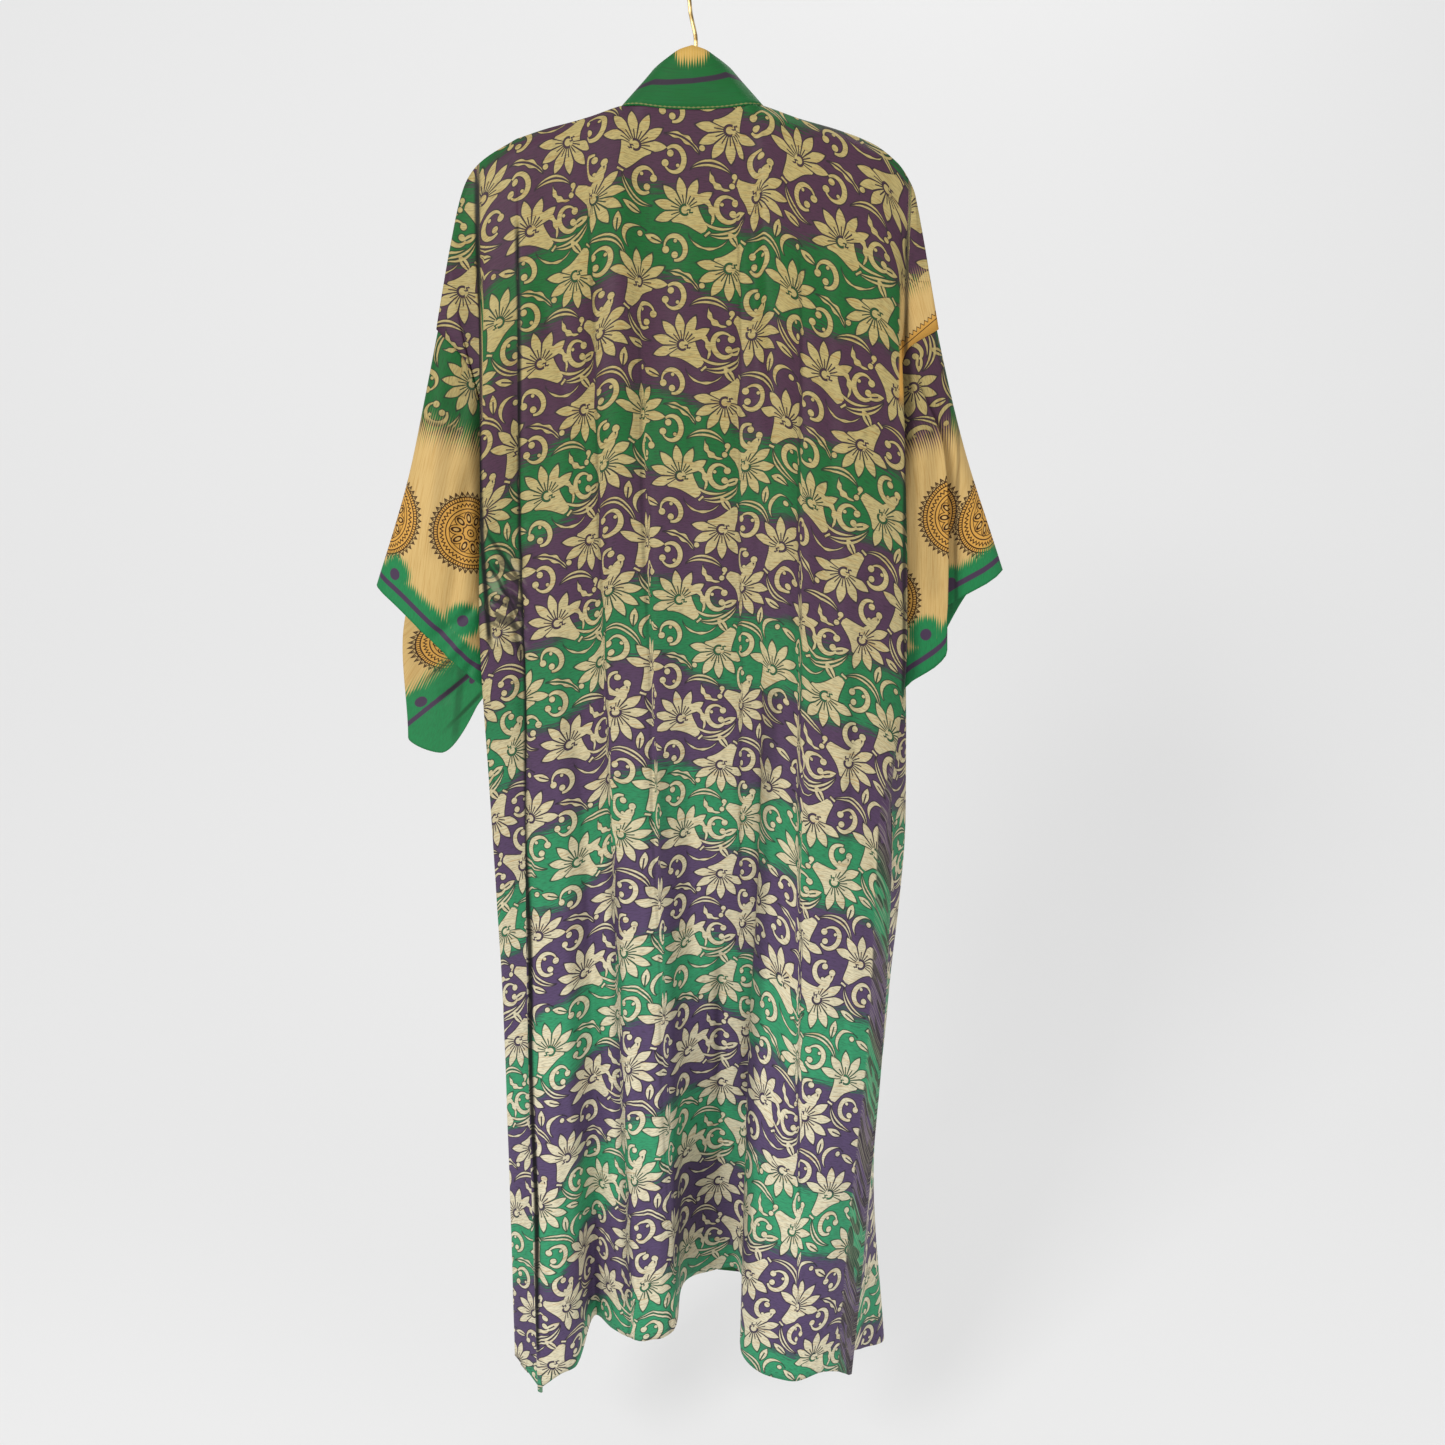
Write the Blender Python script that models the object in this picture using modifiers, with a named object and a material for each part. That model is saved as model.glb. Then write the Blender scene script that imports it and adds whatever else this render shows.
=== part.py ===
"""Long kimono robe hanging on a wooden hanger with a wire hook.

The origin is where a rail holds the hook: the top of the inside of its bowl. The robe's back
faces -Y, the wearer's left is at -X, and +Z is up. Sizes in the tables are millimetres.
"""
import math
from collections import namedtuple

import bmesh
import bpy
import numpy as np

for leftover in list(bpy.data.objects):
    bpy.data.objects.remove(leftover, do_unlink=True)

MM = 0.001

# Cloth and seams
CLOTH_WALL = 1.4
BAND_WALL = 2.4
SEAM_SETBACK = 1.2
SLEEVE_SETBACK = (1.5, 0.0, 0.5)
BAND_SETBACK = 0.4
NECK_SETBACK = 1.5
RIDGE_PART = 1.0

# Hanger
ARM_THICK = 11.0
ARM_DEEP_CENTRE = 24.0
ARM_DEEP_TIP = 13.0
ARM_BELOW_CLOTH = 4.0
ARM_REACH = 172.0
ARM_RISE_IN_NECK = 0.31
ARM_TIP_SQUARENESS = 16
ARM_TIP_SHARE = 0.985
ARM_RINGS = 25
RING_POINTS = 10
WIRE = 3.8
BOWL_RADIUS = 19.0
BOWL_START = 205.0
BOWL_END = -38.0
BORE_DEPTH = 16.0
BORE_CLEARANCE = 0.35
CUTTER_ABOVE = 20.0
BOWL_POINTS = 22

# Neck and shoulders
NECK_LEFT = -69.0
NECK_RIGHT = 65.0
NECK_CENTRE = 0.5 * (NECK_LEFT + NECK_RIGHT)
NECK_TOP = -138.0
NECK_DIP = 6.0
NECK_BACK = 11.0
ROUND_DROP = 14.0
ROUND_OUT = 11.0
ROUND_OUT_PAST_ARMS = 5.0
RIGHT_SHOULDER_SHARE = 0.94

Ridge = namedtuple("Ridge", "out drop")
SHOULDER_RIDGE = (
    Ridge(0, 0), Ridge(39, 12), Ridge(75, 21), Ridge(123, 39), Ridge(143, 57),
    Ridge(154, 74), Ridge(165, 111), Ridge(176, 166), Ridge(186, 203),
)

# Heights of the stations that every fold is measured at
ARM = -486.0
WAIST = -655.0
HIP = -860.0
LOW = -1060.0
KNEE = -1260.0
STATIONS = (ARM, WAIST, HIP, LOW, KNEE)

# Armhole and side seams: one row for a height, with where the back and the front are there
Seam = namedtuple("Seam", "z back_x back_y front_x front_y")
LEFT_SEAM = (
    Seam(-341, -255, -1, -255, 1), Seam(-374, -226, -6, -228, 30),
    Seam(-430, -213, 0, -213, 42), Seam(-486, -209, 10, -209, 42),
    Seam(-560, -206, 15, -206, 32), Seam(-612, -205, 21, -205, 21),
    Seam(-655, -203, 14, -203, 14), Seam(-860, -209, 13, -209, 13),
    Seam(-1060, -213, 14, -213, 14), Seam(-1260, -213, 18, -213, 18),
    Seam(-1390, -215, 22, -213, 27), Seam(-1532, -217, 26, -211, 50),
)
RIGHT_SEAM = (
    Seam(-341, 239, -1, 239, 1), Seam(-362, 208, -5, 212, 28),
    Seam(-430, 195, 0, 196, 42), Seam(-486, 193, 8, 193, 42),
    Seam(-560, 190, 12, 190, 30), Seam(-612, 188, 16, 188, 16),
    Seam(-655, 188, 2, 188, 2), Seam(-860, 203, -38, 203, -38),
    Seam(-1060, 199, -45, 199, -45), Seam(-1260, 187, -49, 187, -49),
    Seam(-1390, 180, -48, 179, -36), Seam(-1487, 174, -43, 172, -10),
)
UNDERARM = -612.0

# Folds: one row for a line down the cloth, with x and y at each station, None where it runs on
Fold = namedtuple("Fold", "name top arm waist hip low knee hem")
BACK_FOLDS = (
    Fold("left drop", -236, (-197, -1), (-194, 2), (-202, 4), (-208, 6), (-210, 9),
         (-211, 16, -1530)),
    Fold("left valley", -222, (-189, -8), (-190, -7), (-197, -5), (-202, -2), (-205, 0),
         (-205, 6, -1527)),
    Fold("left turn", -206, (-212, -30), (-220, -24), (-217, -14), (-213, -12), (-214, -10),
         (-218, -2, -1497)),
    Fold("tuck valley", -171, (-165, -34), (-166, -32), (-172, -32), (-175, -31), (-177, -32),
         (-183, -30, -1520)),
    Fold("tuck edge", -166, (-172, -44), (-171, -46), (-177, -48), (-181, -49), (-183, -50),
         (-183, -52, -1500)),
    Fold("first lobe", -141, None, (-145, -52), None, (-153, -58), None, (-157, -60, -1474)),
    Fold("first lobe side", -116, None, (-123, -50), None, (-135, -50), None,
         (-139, -46, -1472)),
    Fold("first hollow", -97, None, (-102, -45), None, (-117, -34), None, (-124, 2, -1446)),
    Fold("second lobe side", NECK_LEFT, None, (-80, -45), None, (-94, -42), None,
         (-98, -30, -1440)),
    Fold("second lobe", -51, None, (-50, -48), None, (-59, -58), None, (-61, -56, -1434)),
    Fold("second lobe end", -32, None, (-31, -46), None, (-30, -54), None, (-29, -44, -1430)),
    Fold("deep hollow side", -17, None, (-15, -43), None, (-14, -30), None, (-20, 12, -1412)),
    Fold("deep hollow", 5, None, (12, -41), None, (13, -14), None, (10, 45, -1419)),
    Fold("deep hollow far", 28, None, (40, -40), None, (42, -12), None, (43, 45, -1416)),
    Fold("third lobe valley", 45, None, (63, -40), (63, -34), (59, -14), None,
         (54, 20, -1426)),
    Fold("third lobe fold", 54, None, (72, -48), (66, -52), (56, -54), None,
         (47, -56, -1445)),
    Fold("third lobe near", NECK_RIGHT, None, (89, -52), None, (79, -74), None,
         (69, -84, -1451)),
    Fold("third lobe", 99, None, (119, -55), None, (112, -80), None, (103, -92, -1455)),
    Fold("third lobe far", 137, None, (155, -55), None, (152, -74), None, (135, -80, -1454)),
    Fold("right field", 171, (184, -42), (187, -50), (180, -56), (180, -62), (167, -62),
         (156, -60, -1469)),
    Fold("right turn", 193, (206, -34), (212, -36), (192, -52), (186, -59), (173, -60),
         (161, -56, -1474)),
    Fold("right valley", 203, (194, -16), (194, -27), (197, -49), (191, -55), (178, -58),
         (166, -52, -1479)),
    Fold("right drop", 212, (184, -7), (187, -14), (201, -44), (196, -50), (183, -54),
         (170, -48, -1484)),
)
FRONT_SIDE_LEFT = (
    Fold("drop", -237, (-196, 42), (-196, 26), (-202, 24), (-205, 28), (-206, 33),
         (-205, 54, -1526)),
    Fold("valley", -222, (-190, 50), (-192, 40), (-196, 36), (-199, 44), (-201, 50),
         (-200, 64, -1515)),
    Fold("turn", -206, (-211, 68), (-207, 64), (-212, 62), (-210, 70), (-212, 76),
         (-213, 84, -1500)),
)
FRONT_SIDE_RIGHT = (
    Fold("drop", 213, (184, 43), (181, 20), (204, -16), (202, -20), (191, -24),
         (182, -2, -1490)),
    Fold("valley", 203, (177, 49), (182, 36), (208, 8), (206, 8), (196, 4),
         (192, 8, -1496)),
    Fold("turn", 193, (206, 66), (226, 64), (229, 55), (215, 52), (203, 44),
         (222, 40, -1506)),
)
FRONT_FOLDS = (
    Fold("side fold", 168, (176, 80), (176, 84), None, (180, 96), None, (182, 112, -1490)),
    Fold("middle hollow", 130, (140, 68), (138, 66), None, (146, 70), None, (150, 76, -1478)),
    Fold("middle fold", 95, (105, 76), (104, 84), None, (110, 98), None, (114, 114, -1472)),
)

# Neckband: one row for a section of its left half, with its sewn edge and its free edge
Section = namedtuple("Section", "sewn_x sewn_y sewn_z free_x free_y free_z")
BAND_DOWN_FRONT = (
    Section(-80, 104, -1466, -24, 110, -1464), Section(-80, 92, -1060, -23, 96, -1060),
    Section(-79, 74, -655, -22, 78, -655), Section(-78, 68, -486, -21, 71, -486),
    Section(-76, 60, -360, -20, 62, -355), Section(-73, 42, -250, -23, 44, -232),
    Section(-70, 22, -175, -32, 28, -150), Section(NECK_LEFT, 1, -138, -42, 10, -107),
)
BAND_ROUND_NECK = (
    Section(NECK_LEFT, 1, -138, -42, 10, -107), Section(-64, -5, -138.8, -38, 6, -104),
    Section(-51, -11, -140.5, -26, -1, -97), Section(-26, -11, -143.2, -13, -5, -90),
    Section(-2, -11, -144, -2, -6, -87),
)

# Sleeves: one row for a fold, with its share of the armhole from the shoulder point down the
# back, then its middle and its end at the hem
SleeveFold = namedtuple("SleeveFold", "name share middle hem")
LEFT_SLEEVE = (
    SleeveFold("shoulder fold", 0.0, (-292, 0, -488), (-329, 0, -592)),
    SleeveFold("back outer", 0.04, (-281, -10, -498), (-317, -11, -602)),
    SleeveFold("back", 0.13, (-250, -16, -517), (-274, -18, -644)),
    SleeveFold("back inner", 0.27, (-226, -10, -550), (-242, -14, -678)),
    SleeveFold("inner fold", 0.42, (-218, 0, -597), (-221, -4, -702)),
    SleeveFold("underarm", 0.51, (-221, 16, -661), (-233, 16, -720)),
    SleeveFold("front low", 0.62, (-245, 34, -653), (-279, 32, -776)),
    SleeveFold("front fold", 0.70, (-308, 44, -616), (-316, 42, -761)),
    SleeveFold("front turn", 0.76, (-297, 53, -602), (-308, 54, -742)),
    SleeveFold("front hidden", 0.83, (-264, 72, -520), (-266, 78, -636)),
    SleeveFold("front bulge", 0.92, (-281, 62, -492), (-303, 68, -604)),
    SleeveFold("front outer", 0.97, (-291, 28, -486), (-323, 28, -588)),
)
RIGHT_SLEEVE = (
    SleeveFold("shoulder fold", 0.0, (273, 10, -461), (316, 10, -577)),
    SleeveFold("back outer", 0.02, (263, 2, -468), (304, 2, -587)),
    SleeveFold("back valley", 0.045, (238, 4, -461), (238, 8, -631)),
    SleeveFold("near fold", 0.075, (246, -14, -457), (257, -16, -658)),
    SleeveFold("back inner", 0.13, (208, -14, -486), (221, -18, -689)),
    SleeveFold("inner fold", 0.40, (200, -3, -570), (200, -6, -713)),
    SleeveFold("underarm", 0.52, (200, 15, -655), (202, 12, -718)),
    SleeveFold("front", 0.70, (229, 34, -569), (246, 34, -675)),
    SleeveFold("front outer", 0.88, (263, 36, -486), (290, 36, -598)),
    SleeveFold("front shoulder", 0.96, (276, 26, -466), (313, 26, -582)),
)

# Hook wire below its bowl
Bend = namedtuple("Bend", "x z")
WIRE_STEM = (
    Bend(1, -137), Bend(1, -118), Bend(1.6, -98), Bend(1.5, -87), Bend(1, -77),
    Bend(-1.3, -67), Bend(-3.6, -57), Bend(-4.6, -46), Bend(-8, -36),
)

# How finely the cloth is divided
ROWS = 24
SLEEVE_ROWS = 10
SLEEVE_LINES = 24
PER_FOLD = 2
LINES_APART = 0.014
NECK_STEPS = 12


def smooth(heights, values, at):
    """Values at some heights of the curve through given ones, with no overshoot."""
    heights = np.asarray(heights, float)
    values = np.asarray(values, float)
    step = np.diff(heights)
    slope = np.diff(values) / step
    tangent = np.zeros(len(values))
    tangent[0] = slope[0]
    tangent[-1] = slope[-1]
    for i in range(1, len(values) - 1):
        if slope[i - 1] * slope[i] > 0:
            tangent[i] = 2 * slope[i - 1] * slope[i] / (slope[i - 1] + slope[i])
    at = np.clip(at, heights[0], heights[-1])
    i = np.clip(np.searchsorted(heights, at, side="right") - 1, 0, len(step) - 1)
    t = (at - heights[i]) / step[i]
    return (values[i] * (1 + 2 * t) * (1 - t) ** 2 + values[i + 1] * t * t * (3 - 2 * t)
            + step[i] * (tangent[i] * t * (1 - t) ** 2 + tangent[i + 1] * t * t * (t - 1)))


def curve_through(points, per_span, closed=False):
    """Points of a smooth curve through some points, each of which may be a row of places."""
    points = [np.asarray(p, float) for p in points]
    count = len(points)
    spans = count if closed else count - 1
    chords = [np.linalg.norm(points[(i + 1) % count] - points[i], axis=-1, keepdims=True)
              for i in range(spans)]

    def tangent(i):
        if not closed and i == 0:
            return (points[1] - points[0]) / chords[0]
        if not closed and i == count - 1:
            return (points[-1] - points[-2]) / chords[-1]
        before = chords[(i - 1) % spans]
        after = chords[i % spans]
        return (points[(i + 1) % count] - points[i - 1]) / (before + after)

    out = []
    for i in range(spans):
        a, b = points[i], points[(i + 1) % count]
        slope_a, slope_b = tangent(i) * chords[i], tangent((i + 1) % count) * chords[i]
        for t in np.arange(per_span) / per_span:
            out.append(a * (1 + 2 * t) * (1 - t) ** 2 + b * t * t * (3 - 2 * t)
                       + slope_a * t * (1 - t) ** 2 + slope_b * t * t * (t - 1))
    if not closed:
        out.append(points[-1])
    return np.array(out)


def ridge_height(x):
    """Height of the shoulder ridge, or of the back neckline between the neck points."""
    if NECK_LEFT < x < NECK_RIGHT:
        across = (x - NECK_CENTRE) / (NECK_RIGHT - NECK_CENTRE)
        return NECK_TOP - NECK_DIP * (1 - across ** 2)
    out = NECK_LEFT - x if x < 0 else (x - NECK_RIGHT) / RIGHT_SHOULDER_SHARE
    outs = [row.out for row in SHOULDER_RIDGE]
    return NECK_TOP - float(smooth(outs, [row.drop for row in SHOULDER_RIDGE], out))


def down_the_line(stations, shares):
    """A line of cloth at shares of its height, from stations of (z, x, y)."""
    stations = sorted(stations)
    heights = [row[0] for row in stations]
    z = heights[-1] + (heights[0] - heights[-1]) * shares
    x = smooth(heights, [row[1] for row in stations], z)
    y = smooth(heights, [row[2] for row in stations], z)
    return np.stack([x, y, z], axis=1)


def fold_line(fold, side, shares, mirror=1):
    """A fold of a panel; side is -1 on the back and 1 on the front."""
    top_x = fold.top * mirror
    top_z = ridge_height(top_x)
    round_out = ROUND_OUT if abs(top_x) < ARM_REACH + ROUND_DROP else ROUND_OUT_PAST_ARMS
    edge_y = NECK_BACK if NECK_LEFT < top_x < NECK_RIGHT else RIDGE_PART
    stations = [(top_z, top_x, side * edge_y), (top_z - ROUND_DROP, top_x, side * round_out)]
    for height, place in zip(STATIONS, fold[2:7]):
        if place is not None:
            stations.append((height, place[0] * mirror, place[1]))
    hem_x, hem_y, hem_z = fold.hem
    stations.append((hem_z, hem_x * mirror, hem_y))
    return down_the_line(stations, shares)


def seam_line(seam, part, shares):
    """The edge of the back or of the front along an armhole and side seam."""
    if part == "back":
        stations = [(row.z, row.back_x, row.back_y) for row in seam]
    else:
        stations = [(row.z, row.front_x, row.front_y) for row in seam]
    return down_the_line(stations, shares)


def row_shares():
    """Shares down a panel, closer together where the cloth rounds the hanger."""
    near_top = [0.0, 0.004, 0.010, 0.022, 0.045]
    return np.concatenate([near_top, np.linspace(0.08, 1.0, ROWS - len(near_top) + 1)])


def unit(rows):
    return rows / np.linalg.norm(rows, axis=1, keepdims=True)


def pull_in(grid, setback, first=True, last=True):
    """Move the first and last line of a grid into the cloth, square to the seam."""
    for use, edge, inner in ((first, 0, 1), (last, -1, -2)):
        if use:
            along = unit(np.gradient(grid[edge], axis=0))
            way = grid[inner] - grid[edge]
            way -= along * np.sum(way * along, axis=1, keepdims=True)
            grid[edge] += unit(way) * setback
    return grid


def new_material(name, colour, roughness, metallic=0.0):
    material = bpy.data.materials.new(name)
    material.use_nodes = True
    shader = material.node_tree.nodes["Principled BSDF"]
    shader.inputs["Base Color"].default_value = (*colour, 1.0)
    shader.inputs["Roughness"].default_value = roughness
    shader.inputs["Metallic"].default_value = metallic
    return material


def add_object(name, mesh, material, collection):
    thing = bpy.data.objects.new(name, mesh)
    collection.objects.link(thing)
    thing.data.materials.append(material)
    return thing


def cloth_from_grid(name, grid, wall, material, collection, closed=False):
    """A thin wall on a grid of points: lines across, points down each line."""
    across, down = len(grid), len(grid[0])
    mesh = bpy.data.meshes.new(name)
    work = bmesh.new()
    if closed:
        grid = np.concatenate([grid, grid[:1]])
        across += 1
    bmesh.ops.create_grid(work, x_segments=across - 1, y_segments=down - 1, size=1)
    work.verts.ensure_lookup_table()
    for j in range(down):
        for i in range(across):
            work.verts[j * across + i].co = grid[i][j] * MM
    if closed:
        bmesh.ops.remove_doubles(work, verts=work.verts, dist=0.00002)
    work.to_mesh(mesh)
    work.free()
    mesh.shade_smooth()
    thing = add_object(name, mesh, material, collection)
    solid = thing.modifiers.new("Cloth wall", "SOLIDIFY")
    solid.thickness = wall * MM
    solid.offset = 0.0
    solid.use_even_offset = False
    return thing


def back_panel(collection):
    shares = row_shares()
    lines = [seam_line(LEFT_SEAM, "back", shares)]
    lines += [fold_line(fold, -1, shares) for fold in BACK_FOLDS]
    lines.append(seam_line(RIGHT_SEAM, "back", shares))
    grid = pull_in(curve_through(lines, PER_FOLD), SEAM_SETBACK)
    material = new_material("Back silk", (0.16, 0.42, 0.2), 0.45)
    return cloth_from_grid("back_panel", grid, CLOTH_WALL, material, collection)


def band_lines_down_front(shares):
    """Sewn and free edges of the band's left half, from the neck point down to the hem."""
    table = np.array(BAND_DOWN_FRONT, float)
    sewn_z = table[-1, 2] + (table[0, 2] - table[-1, 2]) * shares
    return [np.stack([smooth(table[:, 2], table[:, k], sewn_z) for k in columns], axis=1)
            for columns in ((0, 1, 2), (3, 4, 5))]


def mirrored(points):
    """Points of the band's left half carried over to its right half."""
    return points * np.array([-1.0, 1.0, 1.0]) + np.array([2 * NECK_CENTRE, 0.0, 0.0])


def front_panel(name, seam, side_folds, mirror, colour, collection):
    shares = row_shares()
    band_edge = band_lines_down_front(shares)[0]
    lines = [seam_line(seam, "front", shares)]
    lines += [fold_line(fold, 1, shares) for fold in side_folds]
    lines += [fold_line(fold, 1, shares, mirror) for fold in FRONT_FOLDS]
    lines.append(mirrored(band_edge) if mirror > 0 else band_edge)
    if mirror > 0:
        lines.reverse()
    grid = curve_through(lines, PER_FOLD)
    grid = pull_in(grid, SEAM_SETBACK, first=mirror < 0, last=mirror > 0)
    grid = pull_in(grid, BAND_SETBACK, first=mirror > 0, last=mirror < 0)
    material = new_material(name + " silk", colour, 0.45)
    return cloth_from_grid(name, grid, CLOTH_WALL, material, collection)


def armhole(seam):
    """Points round an armhole with their shares of its length, from the shoulder point down
    the back and up the front, the same points as the panels' own edges have."""
    edges = [seam_line(seam, part, row_shares()) for part in ("back", "front")]
    back, front = (edge[edge[:, 2] >= UNDERARM] for edge in edges)
    ring = np.concatenate([back, front[::-1]])
    along = np.cumsum(np.linalg.norm(np.diff(ring, axis=0, prepend=ring[:1]), axis=1))
    return ring, along / along[-1]


def sleeve(name, seam, folds, colour, collection):
    """A tube from the armhole to the hem, with a line at each fold and others between."""
    ring, ring_shares = armhole(seam)
    outward = np.sign(ring[0, 0])
    fold_shares = [fold.share for fold in folds]
    between = [share for share in np.arange(SLEEVE_LINES) / SLEEVE_LINES
               if min(abs(share - fold) for fold in fold_shares + [1.0]) > LINES_APART]
    shares = np.array(sorted(fold_shares + between))
    setback = np.array(SLEEVE_SETBACK) * (outward, 1, -1)
    start = np.stack([np.interp(shares, ring_shares, ring[:, k]) for k in range(3)], axis=1)
    wrapped = fold_shares + [1.0]
    middle, hem = (
        np.stack([smooth(wrapped, [place[k] for place in places + places[:1]], shares)
                  for k in range(3)], axis=1)
        for places in ([fold.middle for fold in folds], [fold.hem for fold in folds]))
    grid = curve_through([start + setback, middle, hem], SLEEVE_ROWS // 2).swapaxes(0, 1)
    if outward < 0:
        grid = grid[::-1]
    material = new_material(name + " silk", colour, 0.45)
    return cloth_from_grid(name, grid, CLOTH_WALL, material, collection, closed=True)


def neckband(collection):
    down = band_lines_down_front(row_shares())
    table = np.array(BAND_ROUND_NECK, float)
    x = np.linspace(NECK_LEFT, NECK_CENTRE, NECK_STEPS + 1)[1:]
    round_neck = [np.stack([smooth(table[:, 0], table[:, k], x) for k in columns], axis=1)
                  for columns in ((0, 1, 2), (3, 4, 5))]
    left = [np.concatenate([front[::-1], neck]) for front, neck in zip(down, round_neck)]
    sewn, free = (np.concatenate([half, mirrored(half[-2::-1])]) for half in left)
    setback = np.full((len(sewn), 1), NECK_SETBACK)
    setback[:ROWS - 1] = setback[1 - ROWS:] = BAND_SETBACK
    grid = pull_in(np.array([sewn, 0.5 * sewn + 0.5 * free, free]), setback, last=False)
    material = new_material("Neckband silk", (0.1, 0.45, 0.2), 0.45)
    return cloth_from_grid("neckband", grid, BAND_WALL, material, collection)


def hanger_arms(collection):
    """Wooden arms under the shoulders, as rings of an oval section, with a bore for the hook."""
    neck_half = NECK_RIGHT - NECK_CENTRE
    rings = []
    for stop in np.linspace(-1.0, 1.0, ARM_RINGS):
        x = NECK_CENTRE + stop * ARM_REACH * (1.0 if stop < 0 else RIGHT_SHOULDER_SHARE)
        inside = neck_half - abs(x - NECK_CENTRE)
        top = NECK_TOP + ARM_RISE_IN_NECK * inside if inside > 0 else ridge_height(x)
        tip = math.sqrt(1 - (abs(stop) * ARM_TIP_SHARE) ** ARM_TIP_SQUARENESS)
        half_deep = 0.5 * tip * (ARM_DEEP_CENTRE + (ARM_DEEP_TIP - ARM_DEEP_CENTRE) * abs(stop))
        half_thick = 0.5 * tip * ARM_THICK
        middle = top - ARM_BELOW_CLOTH - half_deep
        turns = [2 * math.pi * (k + 0.5) / RING_POINTS for k in range(RING_POINTS)]
        rings.append([(x, half_thick * math.cos(t), middle + half_deep * math.sin(t))
                      for t in turns])
    mesh = bpy.data.meshes.new("hanger_arms")
    work = bmesh.new()
    loops = [[work.verts.new([c * MM for c in point]) for point in ring] for ring in rings]
    for a, b in zip(loops, loops[1:]):
        for k in range(RING_POINTS):
            after = (k + 1) % RING_POINTS
            work.faces.new((a[k], a[after], b[after], b[k]))
    work.faces.new(loops[0])
    work.faces.new(loops[-1])
    bmesh.ops.recalc_face_normals(work, faces=work.faces)
    work.to_mesh(mesh)
    work.free()
    mesh.shade_smooth()
    beech = new_material("Beech", (0.5, 0.33, 0.18), 0.5)
    return add_object("hanger_arms", mesh, beech, collection)


def bore_for_hook(arms, cutters):
    """Blind hole in the middle of the arms that the hook's stem stands in."""
    bottom = WIRE_STEM[0].z - BORE_CLEARANCE
    height = BORE_DEPTH + CUTTER_ABOVE
    bpy.ops.mesh.primitive_cylinder_add(
        vertices=12, radius=(0.5 * WIRE + BORE_CLEARANCE) * MM, depth=height * MM,
        location=(WIRE_STEM[0].x * MM, 0, (bottom + 0.5 * height) * MM))
    cutter = bpy.context.object
    cutter.name = "hook_bore_cutter"
    for holder in list(cutter.users_collection):
        holder.objects.unlink(cutter)
    cutters.objects.link(cutter)
    cutter.hide_render = True
    cutter.display_type = "WIRE"
    cut = arms.modifiers.new("Bore for the hook", "BOOLEAN")
    cut.operation = "DIFFERENCE"
    cut.object = cutter


def hanger_hook(collection):
    stem = curve_through([(bend.x, 0, bend.z) for bend in WIRE_STEM], 2)
    centre = (0.0, 0.5 * WIRE - BOWL_RADIUS)
    turns = np.radians(np.linspace(BOWL_START, BOWL_END, BOWL_POINTS))
    bowl = [(centre[0] + BOWL_RADIUS * math.cos(t), 0, centre[1] + BOWL_RADIUS * math.sin(t))
            for t in turns]
    route = np.concatenate([stem, bowl])
    curve = bpy.data.curves.new("hanger_hook", "CURVE")
    curve.dimensions = "3D"
    curve.bevel_depth = 0.5 * WIRE * MM
    curve.bevel_resolution = 2
    curve.use_fill_caps = True
    spline = curve.splines.new("POLY")
    spline.points.add(len(route) - 1)
    for point, place in zip(spline.points, route):
        point.co = (*(place * MM), 1.0)
    brass = new_material("Brass wire", (0.75, 0.6, 0.35), 0.3, 1.0)
    return add_object("hanger_hook", curve, brass, collection)


def main():
    robe = bpy.data.collections.new("kimono_on_hanger")
    cutters = bpy.data.collections.new("cutters")
    bpy.context.scene.collection.children.link(robe)
    bpy.context.scene.collection.children.link(cutters)
    back_panel(robe)
    front_panel("front_left", LEFT_SEAM, FRONT_SIDE_LEFT, -1, (0.3, 0.2, 0.4), robe)
    front_panel("front_right", RIGHT_SEAM, FRONT_SIDE_RIGHT, 1, (0.3, 0.2, 0.4), robe)
    sleeve("sleeve_left", LEFT_SEAM, LEFT_SLEEVE, (0.7, 0.5, 0.2), robe)
    sleeve("sleeve_right", RIGHT_SEAM, RIGHT_SLEEVE, (0.7, 0.5, 0.2), robe)
    neckband(robe)
    arms = hanger_arms(robe)
    bore_for_hook(arms, cutters)
    hanger_hook(robe)


main()
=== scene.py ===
"""Looks of a long printed silk kimono robe that hangs on a wooden hanger.

The cloth is made from the same tables as the solids, only finer, with the print laid on it in
millimetres of flat cloth.
"""
import math
from collections import namedtuple

import bmesh
import bpy
import numpy as np
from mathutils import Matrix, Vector


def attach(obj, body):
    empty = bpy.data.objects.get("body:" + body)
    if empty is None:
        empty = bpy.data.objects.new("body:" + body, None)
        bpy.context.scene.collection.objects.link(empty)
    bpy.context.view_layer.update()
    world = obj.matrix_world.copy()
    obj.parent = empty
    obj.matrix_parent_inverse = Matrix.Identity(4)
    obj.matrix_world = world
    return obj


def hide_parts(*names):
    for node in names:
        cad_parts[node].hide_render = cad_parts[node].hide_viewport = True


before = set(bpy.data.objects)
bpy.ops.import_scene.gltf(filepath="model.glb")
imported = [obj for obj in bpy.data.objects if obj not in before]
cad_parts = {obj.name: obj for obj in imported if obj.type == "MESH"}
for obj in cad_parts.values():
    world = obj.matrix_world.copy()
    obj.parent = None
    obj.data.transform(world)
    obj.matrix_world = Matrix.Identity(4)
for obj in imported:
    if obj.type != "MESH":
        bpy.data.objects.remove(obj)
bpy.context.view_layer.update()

bl_info = {
    "name": "Kimono on a hanger",
    "version": (1, 0, 0),
    "blender": (4, 5, 0),
    "location": "View3D > Sidebar > Kimono",
    "description": "Sews a printed silk kimono robe round its hanger",
    "category": "Add Mesh",
}

MM = 0.001

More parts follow.
